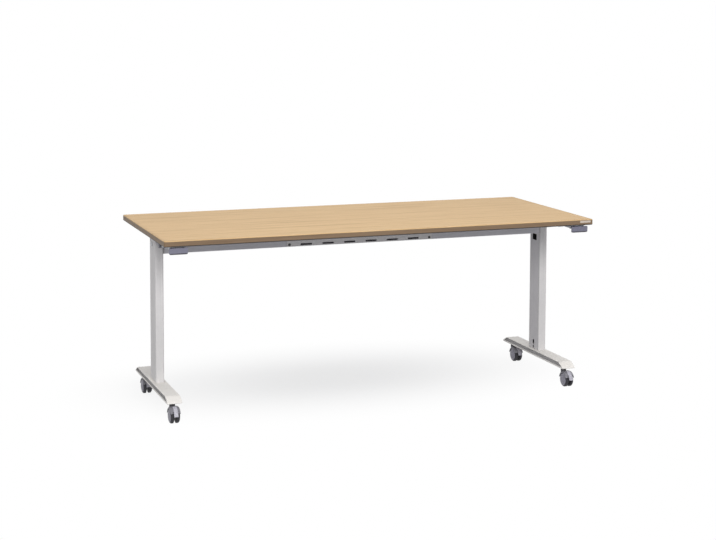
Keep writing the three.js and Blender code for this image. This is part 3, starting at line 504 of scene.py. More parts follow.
def placed(axis, a, b, along):
    """Point of an outline, put at its place along an axis."""
    point = [a, b]
    point.insert("XYZ".index(axis), along)
    return point


def new_object(name, data):
    made = bpy.data.objects.new(name, data)
    bpy.context.collection.objects.link(made)
    return made


def opened(mesh):
    shape = bmesh.new()
    shape.from_mesh(mesh)
    return shape


def closed(shape, mesh):
    shape.to_mesh(mesh)
    shape.free()
    return mesh


def bridged(name, loops, looped=False, weld=WELD):
    """Piece of quads between loops, with end caps unless the last loop meets the first; in metres."""
    shape = bmesh.new()
    rings = [[shape.verts.new(point) for point in loop] for loop in loops]
    pairs = list(zip(rings, rings[1:]))
    if looped:
        pairs.append((rings[-1], rings[0]))
    else:
        shape.faces.new(rings[0])
        shape.faces.new(rings[-1])
    for near, far in pairs:
        for i in range(len(near)):
            shape.faces.new((near[i - 1], near[i], far[i], far[i - 1]))
    bmesh.ops.remove_doubles(shape, verts=shape.verts, dist=weld)
    bmesh.ops.recalc_face_normals(shape, faces=shape.faces)
    bmesh.ops.scale(shape, vec=(MM, MM, MM), verts=shape.verts)
    return new_object(name, closed(shape, bpy.data.meshes.new(name)))


def prism(name, outline, span, axis):
    """Outline pushed along an axis."""
    return bridged(name, [[placed(axis, a, b, along) for a, b in outline] for along in sorted(span)])


def box(name, xs, ys, zs):
    return prism(name, rectangle((xs[0], ys[0]), (xs[1], ys[1])), zs, "Z")


def turned(name, profile, centre, axis, steps):
    """Closed solid turned about an axis through centre, from (radius, along) points."""
    loops = []
    for step in range(steps):
        angle = 2 * math.pi * step / steps
        loop = []
        for radius, along in profile:
            reach = max(radius, AXIS_RADIUS)
            point = placed(axis, reach * math.cos(angle), reach * math.sin(angle), along)
            loop.append(Vector(point) + Vector(centre))
        loops.append(loop)
    return bridged(name, loops, True, AXIS_WELD)


def rod(name, radius, xs, y, z, steps=32):
    low, high = sorted(xs)
    return turned(name, [(0, low), (radius, low), (radius, high), (0, high)], (0, y, z), "X", steps)


def post(name, radius, zs, place, steps=32):
    low, high = zs
    return turned(name, [(0, low), (radius, low), (radius, high), (0, high)], (*place, 0), "Z", steps)


def arched(name, section, angles, centre, steps):
    """Section of (x, radius) points swept round an axis along X, angles in degrees from +Y towards +Z."""
    loops = []
    for step in range(steps + 1):
        degrees = angles[0] + (angles[1] - angles[0]) * step / steps
        loops.append([(centre[0] + x, *around(centre[1:], radius, degrees)) for x, radius in section])
    return bridged(name, loops)


def mirrored(section):
    return [(-x, radius) for x, radius in section]


def settle(piece):
    """The piece's modifiers go into its mesh."""
    graph = bpy.context.evaluated_depsgraph_get()
    mesh = bpy.data.meshes.new_from_object(piece.evaluated_get(graph))
    piece.modifiers.clear()
    old = piece.data
    piece.data = mesh
    bpy.data.meshes.remove(old)
    return piece


def combine(piece, others, operation):
    for other in others:
        change = piece.modifiers.new(operation.lower(), "BOOLEAN")
        change.operation = operation
        change.solver = "EXACT"
        change.object = other
    settle(piece)
    for other in others:
        bpy.data.objects.remove(other)
    return piece


def carve(piece, *cutters):
    return combine(piece, cutters, "DIFFERENCE")


def unite(piece, *others):
    return combine(piece, others, "UNION")


def keep_inside(piece, *others):
    return combine(piece, others, "INTERSECT")


def soften(piece, width, angle=32, segments=2):
    """Rounds the sharp edges, clears slivers and shades the piece smoothly."""
    shape = opened(piece.data)
    bmesh.ops.remove_doubles(shape, verts=shape.verts, dist=WELD * MM)
    flat = math.radians(FLAT_DEGREES)
    bmesh.ops.dissolve_limit(shape, angle_limit=flat, verts=shape.verts, edges=shape.edges)
    closed(shape, piece.data)
    edge = piece.modifiers.new("soften", "BEVEL")
    edge.width = width * MM
    edge.segments = segments
    edge.limit_method = "ANGLE"
    edge.angle_limit = math.radians(angle)
    settle(piece)
    shape = opened(piece.data)
    bmesh.ops.dissolve_degenerate(shape, dist=SLIVER * MM, edges=shape.edges)
    closed(shape, piece.data)
    return shade(piece)


def shade(piece):
    for face in piece.data.polygons:
        face.use_smooth = True
    weight = piece.modifiers.new("weight", "WEIGHTED_NORMAL")
    weight.keep_sharp = True
    weight.weight = 60
    return settle(piece)


def finish(piece, material, slot, body, *nodes):
    piece.data.materials.clear()
    piece.data.materials.append(material)
    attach(piece, body)
    if nodes:
        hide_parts(*nodes)
    return piece


def repaint(piece, material, chosen):
    """Another material on the faces that are chosen."""
    piece.data.materials.append(material)
    index = len(piece.data.materials) - 1
    for face in piece.data.polygons:
        if chosen(face):
            face.material_index = index


def softened_node(node, width, material, slot, body):
    """Finer copy of a flat-sided solid, with its edges rounded."""
    shape = opened(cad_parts[node].data)
    bmesh.ops.remove_doubles(shape, verts=shape.verts, dist=WELD * MM)
    name = node + "_softened"
    piece = new_object(name, closed(shape, bpy.data.meshes.new(name)))
    finish(soften(piece, width), material, slot, body, node)


# Repeated pieces

def repeat_tree(name, sockets):
    """Tree with named inputs; gives it, its inputs' identifiers and its inputs' sockets."""
    tree = bpy.data.node_groups.new(name, "GeometryNodeTree")
    tree.interface.new_socket("Geometry", in_out="INPUT", socket_type="NodeSocketGeometry")
    tree.interface.new_socket("Geometry", in_out="OUTPUT", socket_type="NodeSocketGeometry")
    names = {}
    for label, kind in sockets:
        socket = tree.interface.new_socket(label, in_out="INPUT", socket_type="NodeSocket" + kind)
        names[label] = socket.identifier
    return tree, names, tree.nodes.new("NodeGroupInput").outputs


def close_tree(tree, given, geometry):
    """Ends a tree in real geometry with its material."""
    real = result(tree, "GeometryNodeRealizeInstances", {"Geometry": geometry})
    painted = result(tree, "GeometryNodeSetMaterial", {"Geometry": real, "Material": given["Material"]})
    add_node(tree, "NodeGroupOutput", {"Geometry": painted})


def grow(piece, maker, values):
    """Runs a tree on a piece and keeps the result as a plain mesh."""
    tree, names = maker
    repeat = piece.modifiers.new("repeat", "NODES")
    repeat.node_group = tree
    for label, value in values.items():
        repeat[names[label]] = value
    return settle(piece)


def row_tree():
    """Copies of the given shape in a row along X, centred."""
    tree, names, given = repeat_tree("row_along_x", [
        ("Count", "Int"), ("Pitch", "Float"), ("Material", "Material"),
    ])
    step = result(tree, "ShaderNodeCombineXYZ", {"X": given["Pitch"]})
    gaps = calculated(tree, "SUBTRACT", given["Count"], 1.0)
    length = calculated(tree, "MULTIPLY", gaps, given["Pitch"])
    start = result(tree, "ShaderNodeCombineXYZ", {"X": calculated(tree, "MULTIPLY", length, -0.5)})
    line = result(tree, "GeometryNodeMeshLine", {
        "Count": given["Count"], "Start Location": start, "Offset": step,
    })
    copies = result(tree, "GeometryNodeInstanceOnPoints", {"Points": line, "Instance": given["Geometry"]})
    close_tree(tree, given, copies)
    return tree, names


def screw_tree():
    """Pan-head screws with a six-sided socket on the points of the given mesh, all facing one way."""
    tree, names, given = repeat_tree("screws", [
        ("Head radius", "Float"), ("Head height", "Float"), ("Facing", "Vector"), ("Material", "Material"),
    ])
    radius = given["Head radius"]
    height = given["Head height"]
    top_radius = calculated(tree, "MULTIPLY", radius, 0.78)
    socket_radius = calculated(tree, "MULTIPLY", radius, 0.42)
    socket_rise = calculated(tree, "MULTIPLY", height, 0.85)
    head = result(tree, "GeometryNodeMeshCone", {
        "Vertices": 24, "Radius Top": top_radius, "Radius Bottom": radius, "Depth": height,
    }, fill_type="NGON")
    socket = result(tree, "GeometryNodeMeshCylinder", {
        "Vertices": 6, "Radius": socket_radius, "Depth": height,
    }, fill_type="NGON")
    lift = result(tree, "ShaderNodeCombineXYZ", {"Z": socket_rise})
    raised = result(tree, "GeometryNodeTransform", {"Geometry": socket, "Translation": lift})
    cut = result(tree, "GeometryNodeMeshBoolean", {"Mesh 1": head, "Mesh 2": raised}, operation="DIFFERENCE")
    turn = result(tree, "FunctionNodeAlignRotationToVector", {"Vector": given["Facing"]}, axis="Z")
    copies = result(tree, "GeometryNodeInstanceOnPoints", {
        "Points": given["Geometry"], "Instance": cut, "Rotation": turn,
    })
    close_tree(tree, given, copies)
    return tree, names


def spring_tree():
    """Round wire wound along Y, ends capped."""
    tree, names, given = repeat_tree("wound_spring", [
        ("Curls", "Float"), ("Radius", "Float"), ("Length", "Float"), ("Wire", "Float"),
        ("Place", "Vector"), ("Material", "Material"),
    ])
    helix = result(tree, "GeometryNodeCurveSpiral", {
        "Resolution": 28, "Rotations": given["Curls"], "Start Radius": given["Radius"],
        "End Radius": given["Radius"], "Height": given["Length"],
    })
    wire = result(tree, "GeometryNodeCurvePrimitiveCircle", {"Resolution": 10, "Radius": given["Wire"]})
    tube = result(tree, "GeometryNodeCurveToMesh", {
        "Curve": helix, "Profile Curve": wire, "Fill Caps": True,
    })
    laid = result(tree, "GeometryNodeTransform", {
        "Geometry": tube, "Translation": given["Place"], "Rotation": (-math.pi / 2, 0.0, 0.0),
    })
    close_tree(tree, given, laid)
    return tree, names


ROW = row_tree()
SCREWS = screw_tree()
SPRING = spring_tree()


def screws(name, places, facing, radius, material, body):
    """Screws at places on a face, in millimetres."""
    mesh = bpy.data.meshes.new(name)
    mesh.from_pydata([Vector(place) * MM for place in places], [], [])
    piece = grow(new_object(name, mesh), SCREWS, {
        "Head radius": radius * MM, "Head height": SCREW_HEIGHT * MM, "Facing": facing, "Material": material,
    })
    finish(piece, material, "bare_steel", body)


# Top

def build_top_board():
    """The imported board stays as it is, in oak."""
    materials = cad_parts["top_board"].data.materials
    materials.clear()
    materials.append(OAK)


def build_edge_band():
    profile = [(BAND_DEPTH, TABLE_HEIGHT), (BAND_DEPTH, TOP_UNDERSIDE)]
    steps = 6
    for corner_z, start in ((TOP_UNDERSIDE + EDGE_ROUND, -90), (TABLE_HEIGHT - EDGE_ROUND, 0)):
        for step in range(steps + 1):
            angle = math.radians(start + 90 * step / steps)
            profile.append((EDGE_ROUND * (1 - math.cos(angle)), corner_z + EDGE_ROUND * math.sin(angle)))
    loops = []
    for inset, z in profile:
        half = (TABLE_LENGTH / 2 - inset, TABLE_DEPTH / 2 - inset)
        corner = max(CORNER_ROUND - inset, LEAST_ROUND)
        outline = rounded(rectangle((-half[0], -half[1]), half), corner, steps)
        loops.append([(x, y, z) for x, y in outline])
    band = shade(bridged("edge_band_rounded", loops, True))
    # The band is in the dark edge oak: painted shade on its upright faces.
    finish(band, SHADED_EDGE_OAK, "edge_band", "top", "edge_band")
    # Faces of the band that point upwards take the top's light oak: a painted highlight along the rounded top
    # edge.
    repaint(band, OAK, lambda face: face.normal.z > FACES_UP)
    # Faces of the band that point downwards are near black: painted shade along the lower edge.
    repaint(band, EDGE_SHADE, lambda face: face.normal.z < FACES_DOWN)


def build_edge_plate():
    """Small plain plate on the front edge, near the right corner."""
    front = -TABLE_DEPTH / 2
    outline = rounded(rectangle(*EDGE_PLATE), 1.2, 4)
    plate = prism("edge_plate", outline, (front - EDGE_PLATE_PROUD, front + EDGE_PLATE_SUNK), "Y")
    finish(soften(plate, 0.15), CREAM, "pale_paint", "top")


# Beam

def build_beam():
    inner_front = BEAM_FRONT + BEAM_WALL
    inner_back = BEAM_BACK - BEAM_WALL
    inner_bottom = BEAM_BOTTOM + BEAM_WALL
    inner_top = BEAM_FRONT_TOP - BEAM_WALL
    lip = BEAM_FRONT + BEAM_LIP
    outline = rounded([
        (BEAM_FRONT, BEAM_BOTTOM, FOLD_OUTSIDE),
        (BEAM_BACK, BEAM_BOTTOM, FOLD_OUTSIDE),
        (BEAM_BACK, BEAM_BACK_TOP),
        (inner_back, BEAM_BACK_TOP),
        (inner_back, inner_bottom, FOLD_INSIDE),
        (inner_front, inner_bottom, FOLD_INSIDE),
        (inner_front, inner_top, FOLD_INSIDE),
        (lip, inner_top),
        (lip, BEAM_FRONT_TOP),
        (BEAM_FRONT, BEAM_FRONT_TOP, FOLD_OUTSIDE),
    ], SHEET_ROUND, 4)
    beam = prism("cable_beam_folded", outline, (-BEAM_REACH, BEAM_REACH), "X")
    window = rounded(rectangle(*WINDOW), radius=4)
    carve(beam, prism("window", window, (BEAM_FRONT - CUT_PAST, inner_front + CUT_PAST), "Y"))
    # The beam takes the darker, bluer coat: partly painted shade.
    finish(soften(beam, 0.3, 50, 1), SHADED_BEAM_GREY, "silver_paint", "frame", "cable_beam")


def build_panel():
    back = BEAM_FRONT - FIT_GAP
    front = back - BEAM_WALL
    outline = rounded(rectangle((-PANEL_HALF, PANEL_LOW), (PANEL_HALF, PANEL_HIGH)), radius=3)
    panel = prism("slotted_panel_cut", outline, (front, back), "Y")
    slot = rounded(centred((0, SLOT_Z), SLOT_SIZE), radius=2.5)
    slots = prism("slots", slot, (front - CUT_PAST, back + CUT_PAST), "Y")
    grow(slots, ROW, {"Count": SLOT_COUNT, "Pitch": SLOT_PITCH * MM, "Material": SILVER})
    carve(panel, slots)
    finish(soften(panel, 0.4), SILVER, "silver_paint", "frame", "slotted_panel")
    screw_y = front - PANEL_SCREW_SINK
    places = [(x, screw_y, z) for x in (-PANEL_SCREW_X, PANEL_SCREW_X) for z in PANEL_SCREW_Z]
    # The panel's screw heads are black: painted shade for the dark gaps at the panel's ends.
    screws("panel_screws", places, (0.0, -1.0, 0.0), 5.6, BEARING, "frame")


def build_buffer(side, label):
    r = BUFFER_RADIUS
    low = BEAM_FRONT_TOP + FIT_GAP
    high = TOP_UNDERSIDE - FIT_GAP
    profile = [
        (0, low), (r - CHAMFER, low), (r, low + CHAMFER), (r, high - 2.2), (r - CHAMFER, high - 0.9),
        (r - 2, high - 0.2), (0, high),
    ]
    buffer = turned("top_buffer_%s_domed" % label, profile, (side * BUFFER_X, BUFFER_Y, 0), "Z", 32)
    finish(shade(buffer), RUBBER, "buffer_rubber", "frame", "top_buffer_" + label)


# Legs

def outward(side, start, end):
    """Bounds along X at a leg, from offsets towards the outside of the table."""
    return sorted((side * (LEG_X + start), side * (LEG_X + end)))


def across(side, half):
    """Bounds along X about the middle of a leg."""
    return outward(side, -half, half)


def column_outline(x, inset):
    half = COLUMN_WIDTH / 2 - inset
    corners = rectangle((x - half, COLUMN_FRONT + inset), (x + half, COLUMN_BACK - inset))
    return rounded(corners, COLUMN_ROUND - inset, 8)


def head_outline():
    """Back corner of a column's head, outside the arc that the head is rounded to."""
    back = COLUMN_BACK + CUT_PAST
    top = COLUMN_TOP + CUT_PAST
    arc = [around((PIVOT_Y, PIVOT_Z), HEAD_RADIUS, degrees) for degrees in range(0, 91, 3)]
    return [(y, z) for y, z in arc if z < top] + [(back, top), (back, PIVOT_Z)]


def build_column(side, label):
    x = side * LEG_X
    low = FOOT_TOP + FIT_GAP
    top = COLUMN_TOP + CUT_PAST
    half = COLUMN_WIDTH / 2
    through = across(side, half + CUT_PAST)
    column = prism("column_%s_drawn" % label, column_outline(x, 0), (low, COLUMN_TOP), "Z")
    bore = prism("bore", column_outline(x, COLUMN_WALL), (low - CUT_PAST, top), "Z")
    cover_half = COVER_WIDTH / 2 + FIT_GAP
    window = box(
        "window", outward(side, -half - CUT_PAST, -half + COLUMN_WALL + CUT_PAST),
        (COLUMN_Y - cover_half, COLUMN_Y + cover_half), (low - CUT_PAST, COVER_TOP + FIT_GAP))
    swing = box(
        "swing", across(side, HUB_WIDTH / 2 + SIDE_ROOM),
        (COLUMN_BACK - COLUMN_WALL - CUT_PAST, COLUMN_BACK + CUT_PAST),
        (PIVOT_Z - HUB_RADIUS - SWING_DROP, top))
    wall = (COLUMN_FRONT - CUT_PAST, COLUMN_FRONT + COLUMN_WALL + CUT_PAST)
    bolt_top = BOLT_Z + BOLT_HALF
    strike = box("strike", across(side, BOLT_HALF), wall, (BOLT_Z - BOLT_HALF, bolt_top))
    notch = box("notch", across(side, BOLT_HALF + SIDE_ROOM), wall, (bolt_top + NOTCH_RISE, top))
    head = prism("head", head_outline(), through, "X")
    pivot = rod("pivot", PIVOT_BORE, through, PIVOT_Y, PIVOT_Z)
    carve(column, bore, window, swing, strike, notch, head, pivot)
    finish(soften(column, 0.5, 50), SILVER, "silver_paint", "frame", "column_" + label)
    depth = (COLUMN_FRONT + COLUMN_WALL, COLUMN_BACK - COLUMN_WALL)
    # Faces inside the hollow column are near black: painted shade.
    repaint(column, INSIDE_SHADE, lambda face: is_inside(face, x, half - COLUMN_WALL, depth))


def is_inside(face, x, half, depth):
    """Whether a face lies inside a hollow column or behind its cover."""
    place = face.center / MM
    in_depth = depth[0] - INSIDE_ROOM < place.y < depth[1] + INSIDE_ROOM
    return in_depth and abs(place.x - x) < half + INSIDE_ROOM


def build_cover(side, label):
    near = -COLUMN_WIDTH / 2 + FIT_GAP
    far = near + COVER_WALL
    half = COVER_WIDTH / 2 - COVER_SEAM
    front = COLUMN_Y - half
    back = COLUMN_Y + half
    zs = (FOOT_TOP + 2 * FIT_GAP, COVER_TOP)
    cover = box("column_cover_%s_snapped" % label, outward(side, near, far), (front, back), zs)
    leg_xs = outward(side, near, near + COVER_LEG)
    front_leg = box("leg", leg_xs, (front, front + COVER_WALL), zs)
    back_leg = box("leg", leg_xs, (back - COVER_WALL, back), zs)
    unite(cover, front_leg, back_leg)
    through = outward(side, near - CUT_PAST, far + CUT_PAST)
    hole = rounded(centred(CABLE_HOLE_PLACE, CABLE_HOLE_SIZE), radius=3)
    slot = rounded(centred(EXIT_SLOT_PLACE, EXIT_SLOT_SIZE), radius=6.9)
    dot = rod("dot", EXIT_DOT_RADIUS, through, *EXIT_DOT_PLACE)
    carve(cover, prism("hole", hole, through, "X"), prism("slot", slot, through, "X"), dot)
    finish(soften(cover, 0.5, 50), COLUMN_COVER, "silver_paint", "frame", "column_cover_" + label)

    # Rims of the cover's holes and ends, and its faces inside the column, are near black: painted shade.
    def is_dark(face):
        on_rim = abs(face.normal.x) < RIM_TILT and abs(face.center.y / MM - COLUMN_Y) < half - COVER_WALL
        return on_rim or is_inside(face, side * LEG_X, -far, (front, back))

    repaint(cover, INSIDE_SHADE, is_dark)


def foot_outline(inset):
    half = FOOT_LENGTH / 2 - inset
    flat = FOOT_LENGTH / 2 - FOOT_SLOPE_LENGTH - inset * 0.6
    bottom = FOOT_BOTTOM - CUT_PAST if inset else FOOT_BOTTOM
    nose = FOOT_BOTTOM + FOOT_NOSE - inset * 0.4
    top = FOOT_TOP - inset
    return rounded([
        (LEG_Y - half, bottom),
        (LEG_Y + half, bottom),
        (LEG_Y + half, nose, 2.0),
        (LEG_Y + flat, top, 16),
        (LEG_Y - flat, top, 16),
        (LEG_Y - half, nose, 2.0),
    ], 1.5, 6)


def groove_outline():
    """Long groove in a foot's side, its ends sloping like the foot's."""
    high = FOOT_GROOVE_TOP
    low = high - FOOT_GROOVE_HEIGHT
    nose = FOOT_BOTTOM + FOOT_NOSE
    slope = FOOT_SLOPE_LENGTH / (FOOT_TOP - nose)
    low_end, high_end = [FOOT_LENGTH / 2 - FOOT_GROOVE_END - (z - nose) * slope for z in (low, high)]
    return rounded([
        (LEG_Y - low_end, low), (LEG_Y + low_end, low),
        (LEG_Y + high_end, high), (LEG_Y - high_end, high),
    ], 1.0, 3)


def stem_place(side, end):
    return (side * LEG_X, LEG_Y + end * STEM_SPAN / 2)


def build_foot(side, label):
    half = FOOT_WIDTH / 2
    x = side * LEG_X
    foot = prism("foot_%s_cast" % label, foot_outline(0), across(side, half), "X")
    below = FOOT_BOTTOM - 5 * CUT_PAST
    section = rounded([
        (x - half, below, 0), (x + half, below, 0), (x + half, FOOT_TOP), (x - half, FOOT_TOP),
    ], 3)
    keep_inside(foot, prism("section", section, (LEG_Y - FOOT_LENGTH, LEG_Y + FOOT_LENGTH), "Y"))
    inner = half - FOOT_SIDE_WALL
    cutters = [prism("hollow", foot_outline(FOOT_WALL), across(side, inner), "X")]
    for way in (-1, 1):
        xs = outward(side, way * (half + CUT_PAST), way * (half - FOOT_GROOVE_DEPTH))
        cutters.append(prism("groove", groove_outline(), xs, "X"))
    carve(foot, *cutters)
    places = [stem_place(side, end) for end, _ in ENDS]
    unite(foot, *[post("boss", BOSS_RADIUS, (FOOT_BOTTOM, FOOT_TOP - BOSS_ROOF), place) for place in places])
    bore_zs = (FOOT_BOTTOM - CUT_PAST, FOOT_TOP - FOOT_WALL)
    carve(foot, *[post("stem_bore", STEM_BORE, bore_zs, place) for place in places])
    finish(soften(foot, 0.6, 40), PALE, "pale_paint", "frame", "foot_" + label)
    # Faces inside the grooves take the mid grey: painted shade in the recess.
    repaint(foot, PLATE_AND_GROOVE_SHADE_GREY, lambda face: is_in_groove(face, x))


def is_in_groove(face, x):
    """Whether a face of a foot lies inside one of its long grooves."""
    place = face.center / MM
    offset = FOOT_WIDTH / 2 - abs(place.x - x)
    low = FOOT_GROOVE_TOP - FOOT_GROOVE_HEIGHT
    in_height = low - GROOVE_ROOM < place.z < FOOT_GROOVE_TOP + GROOVE_ROOM
    return in_height and GROOVE_RIM < offset < GROOVE_FLOOR


# Pivot, bracket, lever and lock

def build_bracket(side, label):
    x = side * LEG_X
    high = TOP_UNDERSIDE - FIT_GAP
    low = high - PLATE_THICKNESS
    joined = low + CUT_PAST
    half = PLATE_WIDTH / 2
    plate = rounded(rectangle((x - half, PLATE_FRONT), (x + half, PLATE_BACK)), radius=8)
    bracket = prism("top_bracket_%s_welded" % label, plate, (low, high), "Z")
    hub_xs = across(side, HUB_WIDTH / 2)
    flare = HUB_RADIUS + HUB_FLARE
    arm = prism("arm", [
        (PIVOT_Y - HUB_RADIUS, PIVOT_Z), (PIVOT_Y + HUB_RADIUS, PIVOT_Z),
        (PIVOT_Y + flare, joined), (PIVOT_Y - flare, joined),
    ], hub_xs, "X")
    hub = rod("hub", HUB_RADIUS, hub_xs, PIVOT_Y, PIVOT_Z, 48)
    seat_back = SPRING_FRONT - SEAT_THICKNESS
    seat = box("seat", across(side, SEAT_HALF), (seat_back, SPRING_FRONT), (BAR_Z - SEAT_HALF, joined))
    unite(bracket, arm, hub, seat)
    bore = rod("bore", PIVOT_BORE, across(side, HUB_WIDTH), PIVOT_Y, PIVOT_Z)
    window = box(
        "window", across(side, BOLT_HALF), (seat_back - CUT_PAST, SPRING_FRONT + CUT_PAST),
        (BAR_Z - BOLT_HALF, BAR_Z + BOLT_HALF))
    carve(bracket, bore, window)
    finish(soften(bracket, 0.5, 40), ZINC, "bare_steel", "top", "top_bracket_" + label)
    screw_z = low - PLATE_SCREW_SINK
    places = [(x + way * PLATE_SCREW_X, y, screw_z) for way in (-1, 1) for y in PLATE_SCREW_Y]
    screws("bracket_screws_" + label, places, (0.0, 0.0, -1.0), 4.5, ZINC, "top")


def build_pivot(side, label):
    start = PIN_END - COLUMN_WIDTH / 2
    cap = COLUMN_WIDTH / 2 + FIT_GAP
    crown = cap + CAP_HEIGHT
    floor = cap + CAP_FLOOR
    r = CAP_RADIUS
    profile = [
        (0, start), (PIVOT_RADIUS - CHAMFER, start), (PIVOT_RADIUS, start + CHAMFER), (PIVOT_RADIUS, cap),
        (r - CHAMFER, cap), (r, cap + EASE), (r, crown - 1.2), (r - 0.8, crown - 0.4), (r - 2.5, crown),
        (CAP_SOCKET, crown), (CAP_SOCKET, floor), (0, floor),
    ]
    profile = [(radius, side * (LEG_X + along)) for radius, along in profile]
    pin = turned("pivot_pin_%s_turned" % label, profile, (0, PIVOT_Y, PIVOT_Z), "X", 40)
    finish(shade(pin), ZINC, "bare_steel", "frame", "pivot_pin_" + label)


def build_washer(side, way, node):
    inside = COLUMN_WIDTH / 2 - COLUMN_WALL - FIT_GAP
    near, far = outward(side, way * (HUB_WIDTH / 2 + FIT_GAP), way * inside)
    r = WASHER_RADIUS
    rim = r - CHAMFER
    ring = [(PIVOT_BORE, near), (rim, near), (r, near + EASE), (r, far - EASE), (rim, far), (PIVOT_BORE, far)]
    washer = turned(node + "_turned", ring, (0, PIVOT_Y, PIVOT_Z), "X", 40)
    finish(shade(washer), BEARING, "washer_plastic", "frame", node)


def lever_section():
    """Front wall of a lever seen from the side: proud grip at the foot, lip turned back under it."""
    front = LEVER_FRONT
    back = front + LEVER_WALL
    lip_end = front + LEVER_LIP_DEPTH
    face = front + GRIP_STEP
    grip_top = LEVER_LIP + GRIP_HEIGHT
    return rounded([
        (front + 1.5, LEVER_LIP, 1.5), (lip_end, LEVER_LIP, 1.2), (lip_end, LEVER_LIP + 3, 1.2),
        (back, LEVER_LIP + 4, 2), (back, LEVER_TOP, 0.8), (front + 2, LEVER_TOP, 1.5),
        (face, LEVER_TOP - 2, 2), (face, grip_top + GRIP_STEP, 0), (front, grip_top, 0),
        (front, LEVER_LIP + 2, 2),
    ], 1, 4)


def build_lever(side, label):
    x = side * LEG_X
    half = LEVER_WIDTH / 2
    lever = prism("release_lever_%s_moulded" % label, lever_section(), across(side, half), "X")
    outline = rounded([
        (x - half, LEVER_LIP, 7), (x + half, LEVER_LIP, 7), (x + half, LEVER_TOP), (x - half, LEVER_TOP),
    ], 3, 6)
    keep_inside(lever, prism("face", outline, (LEVER_FRONT - 5, LEVER_FRONT + 20), "Y"))
    body = across(side, LEVER_BODY_WIDTH / 2)
    arm_front = LEVER_FRONT + 5
    arm = prism("arm", [
        (arm_front, LEVER_ARM_TOP - LEVER_ARM_HEIGHT), (LEVER_PIN_Y, LEVER_PIN_Z - LEVER_BOSS),
        (LEVER_PIN_Y, LEVER_PIN_Z + LEVER_BOSS), (arm_front, LEVER_ARM_TOP),
    ], body, "X")
    boss = rod("boss", LEVER_BOSS, body, LEVER_PIN_Y, LEVER_PIN_Z)
    finger = box(
        "finger", across(side, FINGER_HALF_WIDTH),
        (LEVER_PIN_Y - FINGER_HALF_DEPTH, LEVER_PIN_Y + FINGER_HALF_DEPTH),
        (LEVER_PIN_Z - FINGER_REACH, LEVER_PIN_Z - FINGER_ROOT))
    unite(lever, arm, boss, finger)
    hole_xs = across(side, LEVER_WIDTH)
    carve(lever, rod("hole", LEVER_HOLE, hole_xs, LEVER_PIN_Y, LEVER_PIN_Z, 24))
    finish(soften(lever, 0.4, 40), LEVER_GREY, "lever_plastic", "lever_" + label, "release_lever_" + label)
    # Faces low on the lever's front and round its lip are near black: painted shade.
    repaint(lever, LIP_SHADE_GREY, lambda face: face.center.z / MM < LEVER_LIP + GRIP_HEIGHT)


def build_pin(node, radius, xs, centre, body):
    """Plain zinc pin along X with chamfered ends."""
    low, high = xs
    tip = radius - PIN_CHAMFER
    start = low + PIN_CHAMFER
    end = high - PIN_CHAMFER
    profile = [(0, low), (tip, low), (radius, start), (radius, end), (tip, high), (0, high)]
    pin = turned(node + "_turned", profile, centre, "X", 24)
    finish(shade(pin), ZINC, "bare_steel", body, node)


def build_spring(side, label):
    spring = new_object("lock_spring_%s_wound" % label, bpy.data.meshes.new("spring"))
    end = SPRING_WIRE + SPRING_END_GAP
    length = SPRING_BACK - SPRING_FRONT - 2 * end - LOCK_TRAVEL
    grow(spring, SPRING, {
        "Curls": float(SPRING_CURLS), "Radius": SPRING_RADIUS * MM, "Length": length * MM,
        "Wire": SPRING_WIRE * MM, "Material": ZINC,
        "Place": (side * LEG_X * MM, (SPRING_FRONT + end) * MM, BAR_Z * MM),
    })
    finish(shade(spring), ZINC, "bare_steel", "top", "lock_spring_" + label)


# Casters

def build_stem(place, label):
    bottom = SOCKET_TOP - STEM_SUNK
    low = SOCKET_TOP + 2 * FIT_GAP
    high = FOOT_BOTTOM - FIT_GAP
    tip = STEM_RADIUS - CHAMFER
    rim = COLLAR_RADIUS - EASE
    profile = [
        (0, bottom), (tip, bottom), (STEM_RADIUS, bottom + CHAMFER), (STEM_RADIUS, low),
        (rim, low), (COLLAR_RADIUS, low + EASE), (COLLAR_RADIUS, high - EASE), (rim, high),
        (STEM_RADIUS, high), (STEM_RADIUS, STEM_TOP - CHAMFER), (tip, STEM_TOP), (0, STEM_TOP),
    ]
    stem = turned("caster_stem_%s_turned" % label, profile, (*place, 0), "Z", 40)
    finish(shade(stem), BEARING, "bare_steel", "frame", "caster_stem_" + label)


def pedal_hinge(axle):
    return around(axle[1:], PEDAL_HINGE_RADIUS, PEDAL_HINGE_ANGLE)


